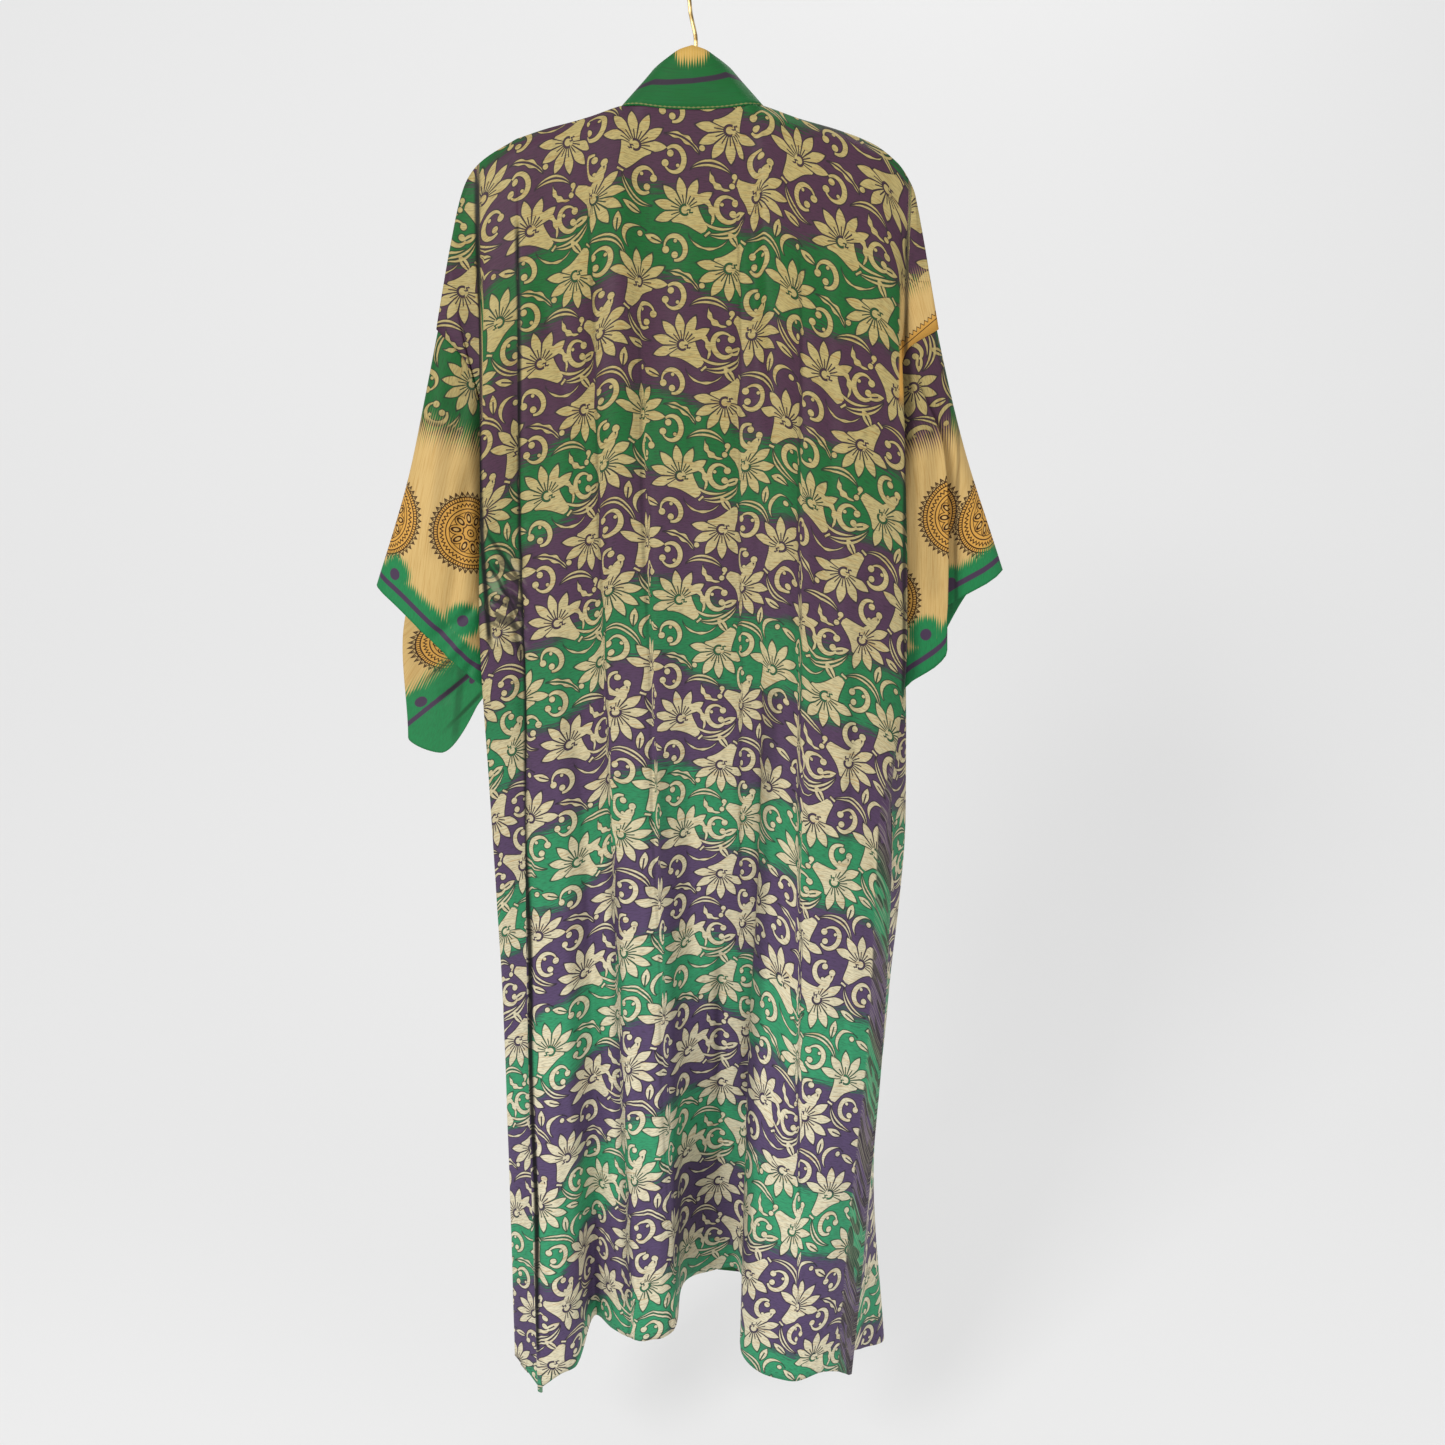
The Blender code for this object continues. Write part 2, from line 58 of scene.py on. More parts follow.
# Seams, closer than between the solids
SEAM_SETBACK = 0.25
SLEEVE_SETBACK = (-0.8, 0.0, 0.3)
BAND_SETBACK = 0.1
RIDGE_PART = 1.0
ARM_REACH = 172.0

# Neck and shoulders
NECK_LEFT = -69.0
NECK_RIGHT = 65.0
NECK_CENTRE = 0.5 * (NECK_LEFT + NECK_RIGHT)
NECK_TOP = -138.0
NECK_DIP = 6.0
NECK_BACK = 11.0
ROUND_DROP = 14.0
ROUND_OUT = 11.0
ROUND_OUT_PAST_ARMS = 5.0
RIGHT_SHOULDER_SHARE = 0.94

Ridge = namedtuple("Ridge", "out drop")
SHOULDER_RIDGE = (
    Ridge(0, 0), Ridge(39, 12), Ridge(75, 21), Ridge(123, 39), Ridge(143, 57),
    Ridge(154, 74), Ridge(165, 111), Ridge(176, 166), Ridge(186, 203),
)

# Heights of the stations that every fold is measured at
ARM = -486.0
WAIST = -655.0
HIP = -860.0
LOW = -1060.0
KNEE = -1260.0
STATIONS = (ARM, WAIST, HIP, LOW, KNEE)

# Armhole and side seams: one row for a height, with where the back and the front are there
Seam = namedtuple("Seam", "z back_x back_y front_x front_y")
LEFT_SEAM = (
    Seam(-341, -255, -1, -255, 1), Seam(-374, -226, -6, -228, 30),
    Seam(-430, -213, 0, -213, 42), Seam(-486, -209, 10, -209, 42),
    Seam(-560, -206, 15, -206, 32), Seam(-612, -205, 21, -205, 21),
    Seam(-655, -203, 14, -203, 14), Seam(-860, -209, 13, -209, 13),
    Seam(-1060, -213, 14, -213, 14), Seam(-1260, -213, 18, -213, 18),
    Seam(-1390, -215, 22, -213, 27), Seam(-1532, -217, 26, -211, 50),
)
RIGHT_SEAM = (
    Seam(-341, 239, -1, 239, 1), Seam(-362, 208, -5, 212, 28),
    Seam(-430, 195, 0, 196, 42), Seam(-486, 193, 8, 193, 42),
    Seam(-560, 190, 12, 190, 30), Seam(-612, 188, 16, 188, 16),
    Seam(-655, 188, 2, 188, 2), Seam(-860, 203, -38, 203, -38),
    Seam(-1060, 199, -45, 199, -45), Seam(-1260, 187, -49, 187, -49),
    Seam(-1390, 180, -48, 179, -36), Seam(-1487, 174, -43, 172, -10),
)
UNDERARM = -612.0

# Folds: one row for a line down the cloth, with x and y at each station, None where it runs on
Fold = namedtuple("Fold", "name top arm waist hip low knee hem")
BACK_FOLDS = (
    Fold("left drop", -236, (-197, -1), (-194, 2), (-202, 4), (-208, 6), (-210, 9),
         (-211, 16, -1530)),
    Fold("left valley", -222, (-189, -8), (-190, -7), (-197, -5), (-202, -2), (-205, 0),
         (-205, 6, -1527)),
    Fold("left turn", -206, (-212, -30), (-220, -24), (-217, -14), (-213, -12), (-214, -10),
         (-218, -2, -1497)),
    Fold("tuck valley", -171, (-165, -34), (-166, -32), (-172, -32), (-175, -31), (-177, -32),
         (-183, -30, -1520)),
    Fold("tuck edge", -166, (-172, -44), (-171, -46), (-177, -48), (-181, -49), (-183, -50),
         (-183, -52, -1500)),
    Fold("first lobe", -141, None, (-145, -52), None, (-153, -58), None, (-157, -60, -1474)),
    Fold("first lobe side", -116, None, (-123, -50), None, (-135, -50), None,
         (-139, -46, -1472)),
    Fold("first hollow", -97, None, (-102, -45), None, (-117, -34), None, (-124, 2, -1446)),
    Fold("second lobe side", NECK_LEFT, None, (-80, -45), None, (-94, -42), None,
         (-98, -30, -1440)),
    Fold("second lobe", -51, None, (-50, -48), None, (-59, -58), None, (-61, -56, -1434)),
    Fold("second lobe end", -32, None, (-31, -46), None, (-30, -54), None, (-29, -44, -1430)),
    Fold("deep hollow side", -17, None, (-15, -43), None, (-14, -30), None, (-20, 12, -1412)),
    Fold("deep hollow", 5, None, (12, -41), None, (13, -14), None, (10, 45, -1419)),
    Fold("deep hollow far", 28, None, (40, -40), None, (42, -12), None, (43, 45, -1416)),
    Fold("third lobe valley", 45, None, (63, -40), (63, -34), (59, -14), None,
         (54, 20, -1426)),
    Fold("third lobe fold", 54, None, (72, -48), (66, -52), (56, -54), None,
         (47, -56, -1445)),
    Fold("third lobe near", NECK_RIGHT, None, (89, -52), None, (79, -74), None,
         (69, -84, -1451)),
    Fold("third lobe", 99, None, (119, -55), None, (112, -80), None, (103, -92, -1455)),
    Fold("third lobe far", 137, None, (155, -55), None, (152, -74), None, (135, -80, -1454)),
    Fold("right field", 171, (184, -42), (187, -50), (180, -56), (180, -62), (167, -62),
         (156, -60, -1469)),
    Fold("right turn", 193, (206, -34), (212, -36), (192, -52), (186, -59), (173, -60),
         (161, -56, -1474)),
    Fold("right valley", 203, (194, -16), (194, -27), (197, -49), (191, -55), (178, -58),
         (166, -52, -1479)),
    Fold("right drop", 212, (184, -7), (187, -14), (201, -44), (196, -50), (183, -54),
         (170, -48, -1484)),
)
FRONT_SIDE_LEFT = (
    Fold("drop", -237, (-196, 42), (-196, 26), (-202, 24), (-205, 28), (-206, 33),
         (-205, 54, -1526)),
    Fold("valley", -222, (-190, 50), (-192, 40), (-196, 36), (-199, 44), (-201, 50),
         (-200, 64, -1515)),
    Fold("turn", -206, (-211, 68), (-207, 64), (-212, 62), (-210, 70), (-212, 76),
         (-213, 84, -1500)),
)
FRONT_SIDE_RIGHT = (
    Fold("drop", 213, (184, 43), (181, 20), (204, -16), (202, -20), (191, -24),
         (182, -2, -1490)),
    Fold("valley", 203, (177, 49), (182, 36), (208, 8), (206, 8), (196, 4),
         (192, 8, -1496)),
    Fold("turn", 193, (206, 66), (226, 64), (229, 55), (215, 52), (203, 44),
         (222, 40, -1506)),
)
FRONT_FOLDS = (
    Fold("side fold", 168, (176, 80), (176, 84), None, (180, 96), None, (182, 112, -1490)),
    Fold("middle hollow", 130, (140, 68), (138, 66), None, (146, 70), None, (150, 76, -1478)),
    Fold("middle fold", 95, (105, 76), (104, 84), None, (110, 98), None, (114, 114, -1472)),
)

# Neckband: one row for a section of its left half, with its sewn edge and its free edge
Section = namedtuple("Section", "sewn_x sewn_y sewn_z free_x free_y free_z")
BAND_DOWN_FRONT = (
    Section(-80, 104, -1466, -24, 110, -1464), Section(-80, 92, -1060, -23, 96, -1060),
    Section(-79, 74, -655, -22, 78, -655), Section(-78, 68, -486, -21, 71, -486),
    Section(-76, 60, -360, -20, 62, -355), Section(-73, 42, -250, -23, 44, -232),
    Section(-70, 22, -175, -32, 28, -150), Section(NECK_LEFT, 1, -138, -42, 10, -107),
)
BAND_ROUND_NECK = (
    Section(NECK_LEFT, 1, -138, -42, 10, -107), Section(-64, -5, -138.8, -38, 6, -104),
    Section(-51, -11, -140.5, -26, -1, -97), Section(-26, -11, -143.2, -13, -5, -90),
    Section(-2, -11, -144, -2, -6, -87),
)

# Sleeves: one row for a fold, with its share of the armhole from the shoulder point down the
# back, then its middle and its end at the hem
SleeveFold = namedtuple("SleeveFold", "name share middle hem")
LEFT_SLEEVE = (
    SleeveFold("shoulder fold", 0.0, (-292, 0, -488), (-329, 0, -592)),
    SleeveFold("back outer", 0.04, (-281, -10, -498), (-317, -11, -602)),
    SleeveFold("back", 0.13, (-250, -16, -517), (-274, -18, -644)),
    SleeveFold("back inner", 0.27, (-226, -10, -550), (-242, -14, -678)),
    SleeveFold("inner fold", 0.42, (-218, 0, -597), (-221, -4, -702)),
    SleeveFold("underarm", 0.51, (-221, 16, -661), (-233, 16, -720)),
    SleeveFold("front low", 0.62, (-245, 34, -653), (-279, 32, -776)),
    SleeveFold("front fold", 0.70, (-308, 44, -616), (-316, 42, -761)),
    SleeveFold("front turn", 0.76, (-297, 53, -602), (-308, 54, -742)),
    SleeveFold("front hidden", 0.83, (-264, 72, -520), (-266, 78, -636)),
    SleeveFold("front bulge", 0.92, (-281, 62, -492), (-303, 68, -604)),
    SleeveFold("front outer", 0.97, (-291, 28, -486), (-323, 28, -588)),
)
RIGHT_SLEEVE = (
    SleeveFold("shoulder fold", 0.0, (273, 10, -461), (316, 10, -577)),
    SleeveFold("back outer", 0.02, (263, 2, -468), (304, 2, -587)),
    SleeveFold("back valley", 0.045, (238, 4, -461), (238, 8, -631)),
    SleeveFold("near fold", 0.075, (246, -14, -457), (257, -16, -658)),
    SleeveFold("back inner", 0.13, (208, -14, -486), (221, -18, -689)),
    SleeveFold("inner fold", 0.40, (200, -3, -570), (200, -6, -713)),
    SleeveFold("underarm", 0.52, (200, 15, -655), (202, 12, -718)),
    SleeveFold("front", 0.70, (229, 34, -569), (246, 34, -675)),
    SleeveFold("front outer", 0.88, (263, 36, -486), (290, 36, -598)),
    SleeveFold("front shoulder", 0.96, (276, 26, -466), (313, 26, -582)),
)

# How finely the cloth is divided
ROWS = 210
SLEEVE_ROWS = 90
SLEEVE_LINES = 120
PER_FOLD = 7
BAND_LINES = 9
NECK_STEPS = 60
SILK = 0.6
BAND_SILK = 1.6

# Where the print's upright flower stands on the back: x at two heights, and its first row
Column = namedtuple("Column", "x_high z_high x_low z_low first_z")
FLOWER_COLUMN = Column(-56, -177, -31, -1173, -175)


def smooth(heights, values, at):
    """Values at some heights of the curve through given ones, with no overshoot."""
    heights = np.asarray(heights, float)
    values = np.asarray(values, float)
    step = np.diff(heights)
    slope = np.diff(values) / step
    tangent = np.zeros(len(values))
    tangent[0] = slope[0]
    tangent[-1] = slope[-1]
    for i in range(1, len(values) - 1):
        if slope[i - 1] * slope[i] > 0:
            tangent[i] = 2 * slope[i - 1] * slope[i] / (slope[i - 1] + slope[i])
    at = np.clip(at, heights[0], heights[-1])
    i = np.clip(np.searchsorted(heights, at, side="right") - 1, 0, len(step) - 1)
    t = (at - heights[i]) / step[i]
    return (values[i] * (1 + 2 * t) * (1 - t) ** 2 + values[i + 1] * t * t * (3 - 2 * t)
            + step[i] * (tangent[i] * t * (1 - t) ** 2 + tangent[i + 1] * t * t * (t - 1)))


def ease(share):
    """A soft step from nought to one."""
    share = np.clip(share, 0, 1)
    return share * share * (3 - 2 * share)


def curve_through(points, per_span, closed=False):
    """Points of a smooth curve through some points, each of which may be a row of places."""
    points = [np.asarray(p, float) for p in points]
    count = len(points)
    spans = count if closed else count - 1
    chords = [np.linalg.norm(points[(i + 1) % count] - points[i], axis=-1, keepdims=True)
              for i in range(spans)]

    def tangent(i):
        if not closed and i == 0:
            return (points[1] - points[0]) / chords[0]
        if not closed and i == count - 1:
            return (points[-1] - points[-2]) / chords[-1]
        before = chords[(i - 1) % spans]
        after = chords[i % spans]
        return (points[(i + 1) % count] - points[i - 1]) / (before + after)

    out = []
    for i in range(spans):
        a, b = points[i], points[(i + 1) % count]
        slope_a, slope_b = tangent(i) * chords[i], tangent((i + 1) % count) * chords[i]
        for t in np.arange(per_span) / per_span:
            out.append(a * (1 + 2 * t) * (1 - t) ** 2 + b * t * t * (3 - 2 * t)
                       + slope_a * t * (1 - t) ** 2 + slope_b * t * t * (t - 1))
    if not closed:
        out.append(points[-1])
    return np.array(out)


def ridge_height(x):
    """Height of the shoulder ridge, or of the back neckline between the neck points."""
    if NECK_LEFT < x < NECK_RIGHT:
        across = (x - NECK_CENTRE) / (NECK_RIGHT - NECK_CENTRE)
        return NECK_TOP - NECK_DIP * (1 - across ** 2)
    out = NECK_LEFT - x if x < 0 else (x - NECK_RIGHT) / RIGHT_SHOULDER_SHARE
    outs = [row.out for row in SHOULDER_RIDGE]
    return NECK_TOP - float(smooth(outs, [row.drop for row in SHOULDER_RIDGE], out))


def down_the_line(stations, shares):
    """A line of cloth at shares of its height, from stations of (z, x, y)."""
    stations = sorted(stations)
    heights = [row[0] for row in stations]
    z = heights[-1] + (heights[0] - heights[-1]) * shares
    x = smooth(heights, [row[1] for row in stations], z)
    y = smooth(heights, [row[2] for row in stations], z)
    return np.stack([x, y, z], axis=1)


def fold_line(fold, side, shares, mirror=1):
    """A fold of a panel; side is -1 on the back and 1 on the front."""
    top_x = fold.top * mirror
    top_z = ridge_height(top_x)
    round_out = ROUND_OUT if abs(top_x) < ARM_REACH + ROUND_DROP else ROUND_OUT_PAST_ARMS
    edge_y = NECK_BACK if NECK_LEFT < top_x < NECK_RIGHT else RIDGE_PART
    stations = [(top_z, top_x, side * edge_y), (top_z - ROUND_DROP, top_x, side * round_out)]
    for height, place in zip(STATIONS, fold[2:7]):
        if place is not None:
            stations.append((height, place[0] * mirror, place[1]))
    hem_x, hem_y, hem_z = fold.hem
    stations.append((hem_z, hem_x * mirror, hem_y))
    return down_the_line(stations, shares)


def seam_line(seam, part, shares):
    """The edge of the back or of the front along an armhole and side seam."""
    if part == "back":
        stations = [(row.z, row.back_x, row.back_y) for row in seam]
    else:
        stations = [(row.z, row.front_x, row.front_y) for row in seam]
    return down_the_line(stations, shares)


def row_shares():
    """Shares down a panel, closer together where the cloth rounds the hanger."""
    near_top = np.concatenate([np.linspace(0.0, 0.010, 9), np.linspace(0.012, 0.045, 12)])
    return np.concatenate([near_top, np.linspace(0.05, 1.0, ROWS - len(near_top) + 1)])


def unit(rows):
    """Ways of length one."""
    return rows / np.linalg.norm(rows, axis=-1, keepdims=True)


def pull_in(grid, setback, first=True, last=True):
    """Move the first and last line of a grid into the cloth, square to the seam."""
    for use, edge, inner in ((first, 0, 1), (last, -1, -2)):
        if use:
            along = unit(np.gradient(grid[edge], axis=0))
            way = grid[inner] - grid[edge]
            way -= along * np.sum(way * along, axis=1, keepdims=True)
            length = np.linalg.norm(way, axis=1, keepdims=True)
            grid[edge] += way / length * np.minimum(setback, 0.9 * length)
    return grid


# Flat cloth: how far each point lies across and down the piece as it was cut

def across_the_cloth(grid):
    """Distance of each line from the first, square to the cloth's length, at each row."""
    step = np.diff(grid, axis=0)
    along = unit(np.gradient(grid, axis=1))
    along = unit(along[:-1] + along[1:])
    step = step - along * np.sum(step * along, axis=2, keepdims=True)
    wide = np.linalg.norm(step, axis=2)
    return np.concatenate([np.zeros((1, grid.shape[1])), np.cumsum(wide, axis=0)])


def down_the_cloth(grid):
    """Distance of each row from the top of its line."""
    step = np.linalg.norm(np.diff(grid, axis=1), axis=2)
    return np.concatenate([np.zeros((len(grid), 1)), np.cumsum(step, axis=1)], axis=1)


def column_x(z):
    """Where the column of upright flowers stands at a height of the back."""
    c = FLOWER_COLUMN
    return c.x_high + (c.x_low - c.x_high) * (c.z_high - z) / (c.z_high - c.z_low)


# Shader maths

# The output of the Texture Coordinate node that is the place on the object
OBJECT_PLACE = 3

# Sockets of a Mix node by number, because several share a name: both values and the result
MIX_PLACES = (4, 5, 1)
MIX_COLOURS = (6, 7, 2)


class Signal:
    """One output of a shader node. Arithmetic on it adds Math nodes."""

    def __init__(self, dye, socket):
        self.dye = dye
        self.socket = socket

    def math(self, operation, *others):
        return self.dye.maths(operation, self, *others)

    def __add__(self, other):
        return self.math("ADD", other)

    def __radd__(self, other):
        return self.math("ADD", other)

    def __sub__(self, other):
        return self.math("SUBTRACT", other)

    def __rsub__(self, other):
        return self.dye.maths("SUBTRACT", other, self)

    def __mul__(self, other):
        return self.math("MULTIPLY", other)

    def __rmul__(self, other):
        return self.math("MULTIPLY", other)

    def __truediv__(self, other):
        return self.math("DIVIDE", other)

    def __lt__(self, other):
        return self.math("LESS_THAN", other)

    def __gt__(self, other):
        return self.math("GREATER_THAN", other)

    def __abs__(self):
        return self.math("ABSOLUTE")

    def __neg__(self):
        return self.math("MULTIPLY", -1.0)

    def least(self, other):
        return self.math("MINIMUM", other)

    def most(self, other):
        return self.math("MAXIMUM", other)


class Dye:
    """The nodes of one material."""

    def __init__(self, name):
        self.material = bpy.data.materials.new(name)
        self.material.use_nodes = True
        self.tree = self.material.node_tree
        self.shader = self.tree.nodes["Principled BSDF"]

    def node(self, kind, settings=None, sockets=None, out=0):
        """A node of a type, with its settings and the values or links of its sockets."""
        node = self.tree.nodes.new(kind)
        for name, value in (settings or {}).items():
            setattr(node, name, value)
        self.fill(node, sockets or {})
        return Signal(self, node.outputs[out])

    def fill(self, node, sockets):
        """Links a node's sockets, or gives them their constants."""
        for key, value in sockets.items():
            if isinstance(value, Signal):
                self.tree.links.new(value.socket, node.inputs[key])
            else:
                node.inputs[key].default_value = value

    def maths(self, operation, *values):
        return self.node("ShaderNodeMath", {"operation": operation}, dict(enumerate(values)))

    def vector(self, operation, *values):
        out = 1 if operation in ("LENGTH", "DOT_PRODUCT") else 0
        keys = (0, 3) if operation == "SCALE" else (0, 1, 2)
        return self.node("ShaderNodeVectorMath", {"operation": operation},
                         dict(zip(keys, values)), out)

    def pick(self, sockets, settings, share, first, second):
        """The first value where share is nought, and the second where it is one."""
        low, high, out = sockets
        return self.node("ShaderNodeMix", settings, {0: share, low: first, high: second}, out)

    def pick_place(self, share, first, second):
        return self.pick(MIX_PLACES, {"data_type": "VECTOR"}, share, first, second)

    def pick_colour(self, share, first, second, blend="MIX"):
        return self.pick(MIX_COLOURS, {"data_type": "RGBA", "blend_type": blend},
                         share, first, second)

    def over(self, colour, tint, value, low, high, most=1.0):
        """A colour with a tint over it where a value passes softly from one number to another."""
        return self.pick_colour(self.edge(value, low, high, 0.0, most), colour, tint)

    def edge(self, value, low, high, to_low=0.0, to_high=1.0):
        """A soft step from one value to another."""
        return self.node("ShaderNodeMapRange", {"interpolation_type": "SMOOTHSTEP"},
                         {0: value, 1: low, 2: high, 3: to_low, 4: to_high})

    def parts(self, place):
        split = self.node("ShaderNodeSeparateXYZ", None, {0: place})
        return split, Signal(self, split.socket.node.outputs[1])

    def join(self, x, y, z=0.0):
        return self.node("ShaderNodeCombineXYZ", None, {0: x, 1: y, 2: z})

    def speckle(self, place, scale, detail, roughness=0.5):
        return self.node("ShaderNodeTexNoise", {"noise_dimensions": "3D"},
                         {"Vector": place, "Scale": scale, "Detail": detail,
                          "Roughness": roughness}, 0)

    def threads(self, across, down, across_scale, down_scale, detail, roughness=0.5):
        """Noise on flat cloth, with a scale of its own each way."""
        place = self.join(across * across_scale, down * down_scale)
        return self.speckle(place, 1.0, detail, roughness)

    def cloth_place(self, layer):
        """The two distances that a UV map holds, in millimetres."""
        u, v = self.parts(self.node("ShaderNodeUVMap", {"uv_map": layer}))
        return u / MM, v / MM

    def hung_place(self, unit_length=MM):
        """Where a point of the piece hangs, in millimetres unless told otherwise."""
        x, y = self.parts(self.node("ShaderNodeTexCoord", out=OBJECT_PLACE))
        z = Signal(self, x.socket.node.outputs[2])
        return x / unit_length, y / unit_length, z / unit_length

    def finish(self, colour, roughness, height, strength, depth, constants):
        """The material, with its colour, its relief and the shader's own constant sockets."""
        relief = self.node("ShaderNodeBump", None,
                           {"Strength": strength, "Distance": depth, "Height": height})
        self.fill(self.shader, {"Base Color": colour, "Roughness": roughness, "Normal": relief})
        self.fill(self.shader, constants)
        return self.material


def linear(red, green, blue):
    """A colour as a screen gives it, from 0 to 255, for a shader."""
    out = []
    for part in (red, green, blue):
        part /= 255.0
        out.append(part / 12.92 if part <= 0.04045 else ((part + 0.055) / 1.055) ** 2.4)
    return (*out, 1.0)


# The print: flowers, curls, horns and leaves on one repeat, in millimetres of flat cloth

# Width and height of one repeat, and the places on it where motifs stand
REPEAT = (157.0, 124.0)
Spot = namedtuple("Spot", "x y turn flip")
FLOWERS = (
    Spot(0.0, 0.0, -30, 1), Spot(-70.0, 14.0, 146, 1),
    Spot(-41.0, -45.5, -122, 1), Spot(45.5, -58.0, 44, -1),
)

# A flower: how far its petals and the gaps between them reach, how pointed petals are and how
# they are spread, where its strokes lie, and its bell
FLOWER_TIP = 30.5
FLOWER_GAP = 17.0
PETAL_POINT = 0.65
PETAL_STEP = math.radians(33)
PETAL_LEAN = math.radians(2)
PETALS_MIDDLE = math.radians(-18.5)
PETALS_SPREAD = math.radians(99)
STROKE_FROM = 6.0
STROKE_TO = 13.5
COIL_RADIUS = 4.6
BELL_LONG = 27.0
BELL_FOOT = 3.6
BELL_SWELL = 7.2
BELL_FLARE = 5.6

CURLS = (
    Spot(7.5, -31.5, -8, 1), Spot(36.0, -12.5, 182, 1), Spot(-37.5, -16.5, 205, -1),
    Spot(-37.0, 20.0, -20, -1), Spot(36.0, 31.5, 28, -1), Spot(84.0, -56.5, 20, 1),
)

# A curl: its ring, the way its mouth points and how wide that is, and the beads in it
CURL_RADIUS = 9.7
CURL_SQUASH = 0.84
CURL_MOUTH = -0.35
CURL_MOUTH_HALF = 0.58
CURL_END = 1.0
CURL_SWELL = 1.8
CurlBead = namedtuple("CurlBead", "x y radius")
CURL_BEADS = (CurlBead(8.4, 3.0, 3.6), CurlBead(2.9, -5.4, 3.4), CurlBead(-3.4, 5.8, 2.0))

LEAVES = (
    Spot(-5.5, -57.0, 66, 1), Spot(-19.5, -73.0, -8, 1), Spot(15.5, -84.0, 66, 1),
    Spot(90.0, -84.0, 36, 1), Spot(96.0, -62.0, -68, 1),
)
LEAF_LONG = 9.6
LEAF_WIDE = 3.9

# Horns, by three points of an arc, with a slit along them or a leafy edge on some
Horn = namedtuple("Horn", "start middle end wide split leafy")
HORNS = (
    Horn((-13.5, -28.5), (-7.0, -44.0), (14.0, -54.5), 5.6, True, 0.0),
    Horn((51.5, -21.0), (71.0, -15.5), (88.0, -25.0), 6.2, True, 0.0),
    Horn((65.5, -79.0), (88.0, -78.5), (104.5, -63.0), 6.4, True, 0.0),
    Horn((104.0, -85.5), (126.0, -83.5), (143.0, -105.5), 6.0, True, 0.0),
    Horn((28.0, 10.5), (42.5, 8.0), (60.0, -7.5), 6.0, True, 0.28),
    Horn((57.5, -46.0), (66.5, -51.5), (69.5, -71.0), 5.0, False, 0.3),
    Horn((69.0, -22.0), (75.0, -36.0), (86.5, -39.5), 4.8, False, 0.3),
    Horn((-10.5, -95.0), (-10.0, -76.0), (3.5, -73.5), 4.2, False, 0.0),
    Horn((49.0, -81.0), (62.0, -92.0), (84.5, -84.0), 2.4, False, 0.25),
    Horn((-35.0, -26.0), (-38.0, -31.5), (-45.5, -37.0), 4.6, False, 0.0),
    Horn((58.0, -64.0), (72.0, -73.5), (92.0, -71.0), 2.8, False, 0.0),
)
BEADS = (
    Spot(62.5, -2.5, 0, 1), Spot(2.0, -79.5, 0, 1), Spot(88.0, -35.5, 0, 1),
    Spot(57.0, -46.0, 0, 1), Spot(90.5, -27.0, 0, 1), Spot(-45.0, -36.0, 0, 1),
)
BEAD_RADIUS = 2.9


def from_spot(dye, place, x, y):
    """The place seen from a spot of the repeat, the nearest of that spot's copies."""
    half = (0.5 * REPEAT[0], 0.5 * REPEAT[1], 1.0)
    away = dye.vector("SUBTRACT", place, (x, y, 0.0))
    return dye.vector("WRAP", away, half, tuple(-part for part in half))


def nearest(dye, place, spots, repeats=True):
    """The place seen from the nearest of some spots, turned and flipped as that spot is."""
    best = best_far = best_way = None
    for spot in spots:
        if repeats:
            away = from_spot(dye, place, spot.x, spot.y)
        else:
            away = dye.vector("SUBTRACT", place, (spot.x, spot.y, 0.0))
        far = dye.vector("LENGTH", away)
        way = (math.radians(spot.turn), float(spot.flip), 0.0)
        if best is None:
            best, best_far, best_way = away, far, way
            continue
        closer = far < best_far
        best = dye.pick_place(closer, best, away)
        best_way = dye.pick_place(closer, best_way, way)
        best_far = best_far.least(far)
    turn, flip = dye.parts(best_way)
    turned = dye.node("ShaderNodeVectorRotate", {"rotation_type": "Z_AXIS", "invert": True},
                      {"Vector": best, "Angle": turn})
    x, y = dye.parts(turned)
    return x * flip, y, best_far


def flower(dye, place):
    """How far inside a flower a place is. Its petals point up from a bell, round a coil."""
    x, y, far = nearest(dye, place, FLOWERS)
    round_ = dye.maths("ARCTAN2", x, y)
    half = 0.5 * PETAL_STEP
    petal = (round_ + PETAL_LEAN).math("PINGPONG", half) / half
    drop = petal * PETAL_POINT + petal * petal * (1.0 - PETAL_POINT)
    reach = FLOWER_TIP - (FLOWER_TIP - FLOWER_GAP) * drop
    side = (PETALS_SPREAD - abs(round_ - PETALS_MIDDLE)) * far
    petals = ((reach - far) * 0.42).least(side)
    up = dye.node("ShaderNodeClamp", None, {0: (y + BELL_LONG) / BELL_LONG, 1: 0.0, 2: 1.0})
    wide = BELL_FOOT + BELL_SWELL * up.math("POWER", 0.8) + BELL_FLARE * up.math("POWER", 4.0)
    bell = ((wide - abs(x)) * 0.85).least((y + BELL_LONG) * 1.6 - abs(x) * 0.45).least(2.5 - y)
    collar = (1.3 - abs(y + BELL_LONG + 2.7)).least(3.4 - abs(x))
    between = (1.0 - petal) * far * half
    begin = ((far - STROKE_FROM) * 0.6).least(side)
    groove = (0.2 + (far - STROKE_FROM) * 0.025 - between).least(begin)
    stroke = (0.22 - petal * far * half).least(begin).least(STROKE_TO - far)
    groove = groove.most(stroke)
    coil = (0.8 - abs(far - COIL_RADIUS)).least(x + y * 0.6 + 2.4)
    bent = abs(x + 3.6 - 1.3 * y.math("PINGPONG", 1.7))
    zigzag = (0.75 - bent).least(2.6 - abs(y + 4.4))
    return petals.most(bell).least(-groove).least(-coil).least(-zigzag).most(collar)


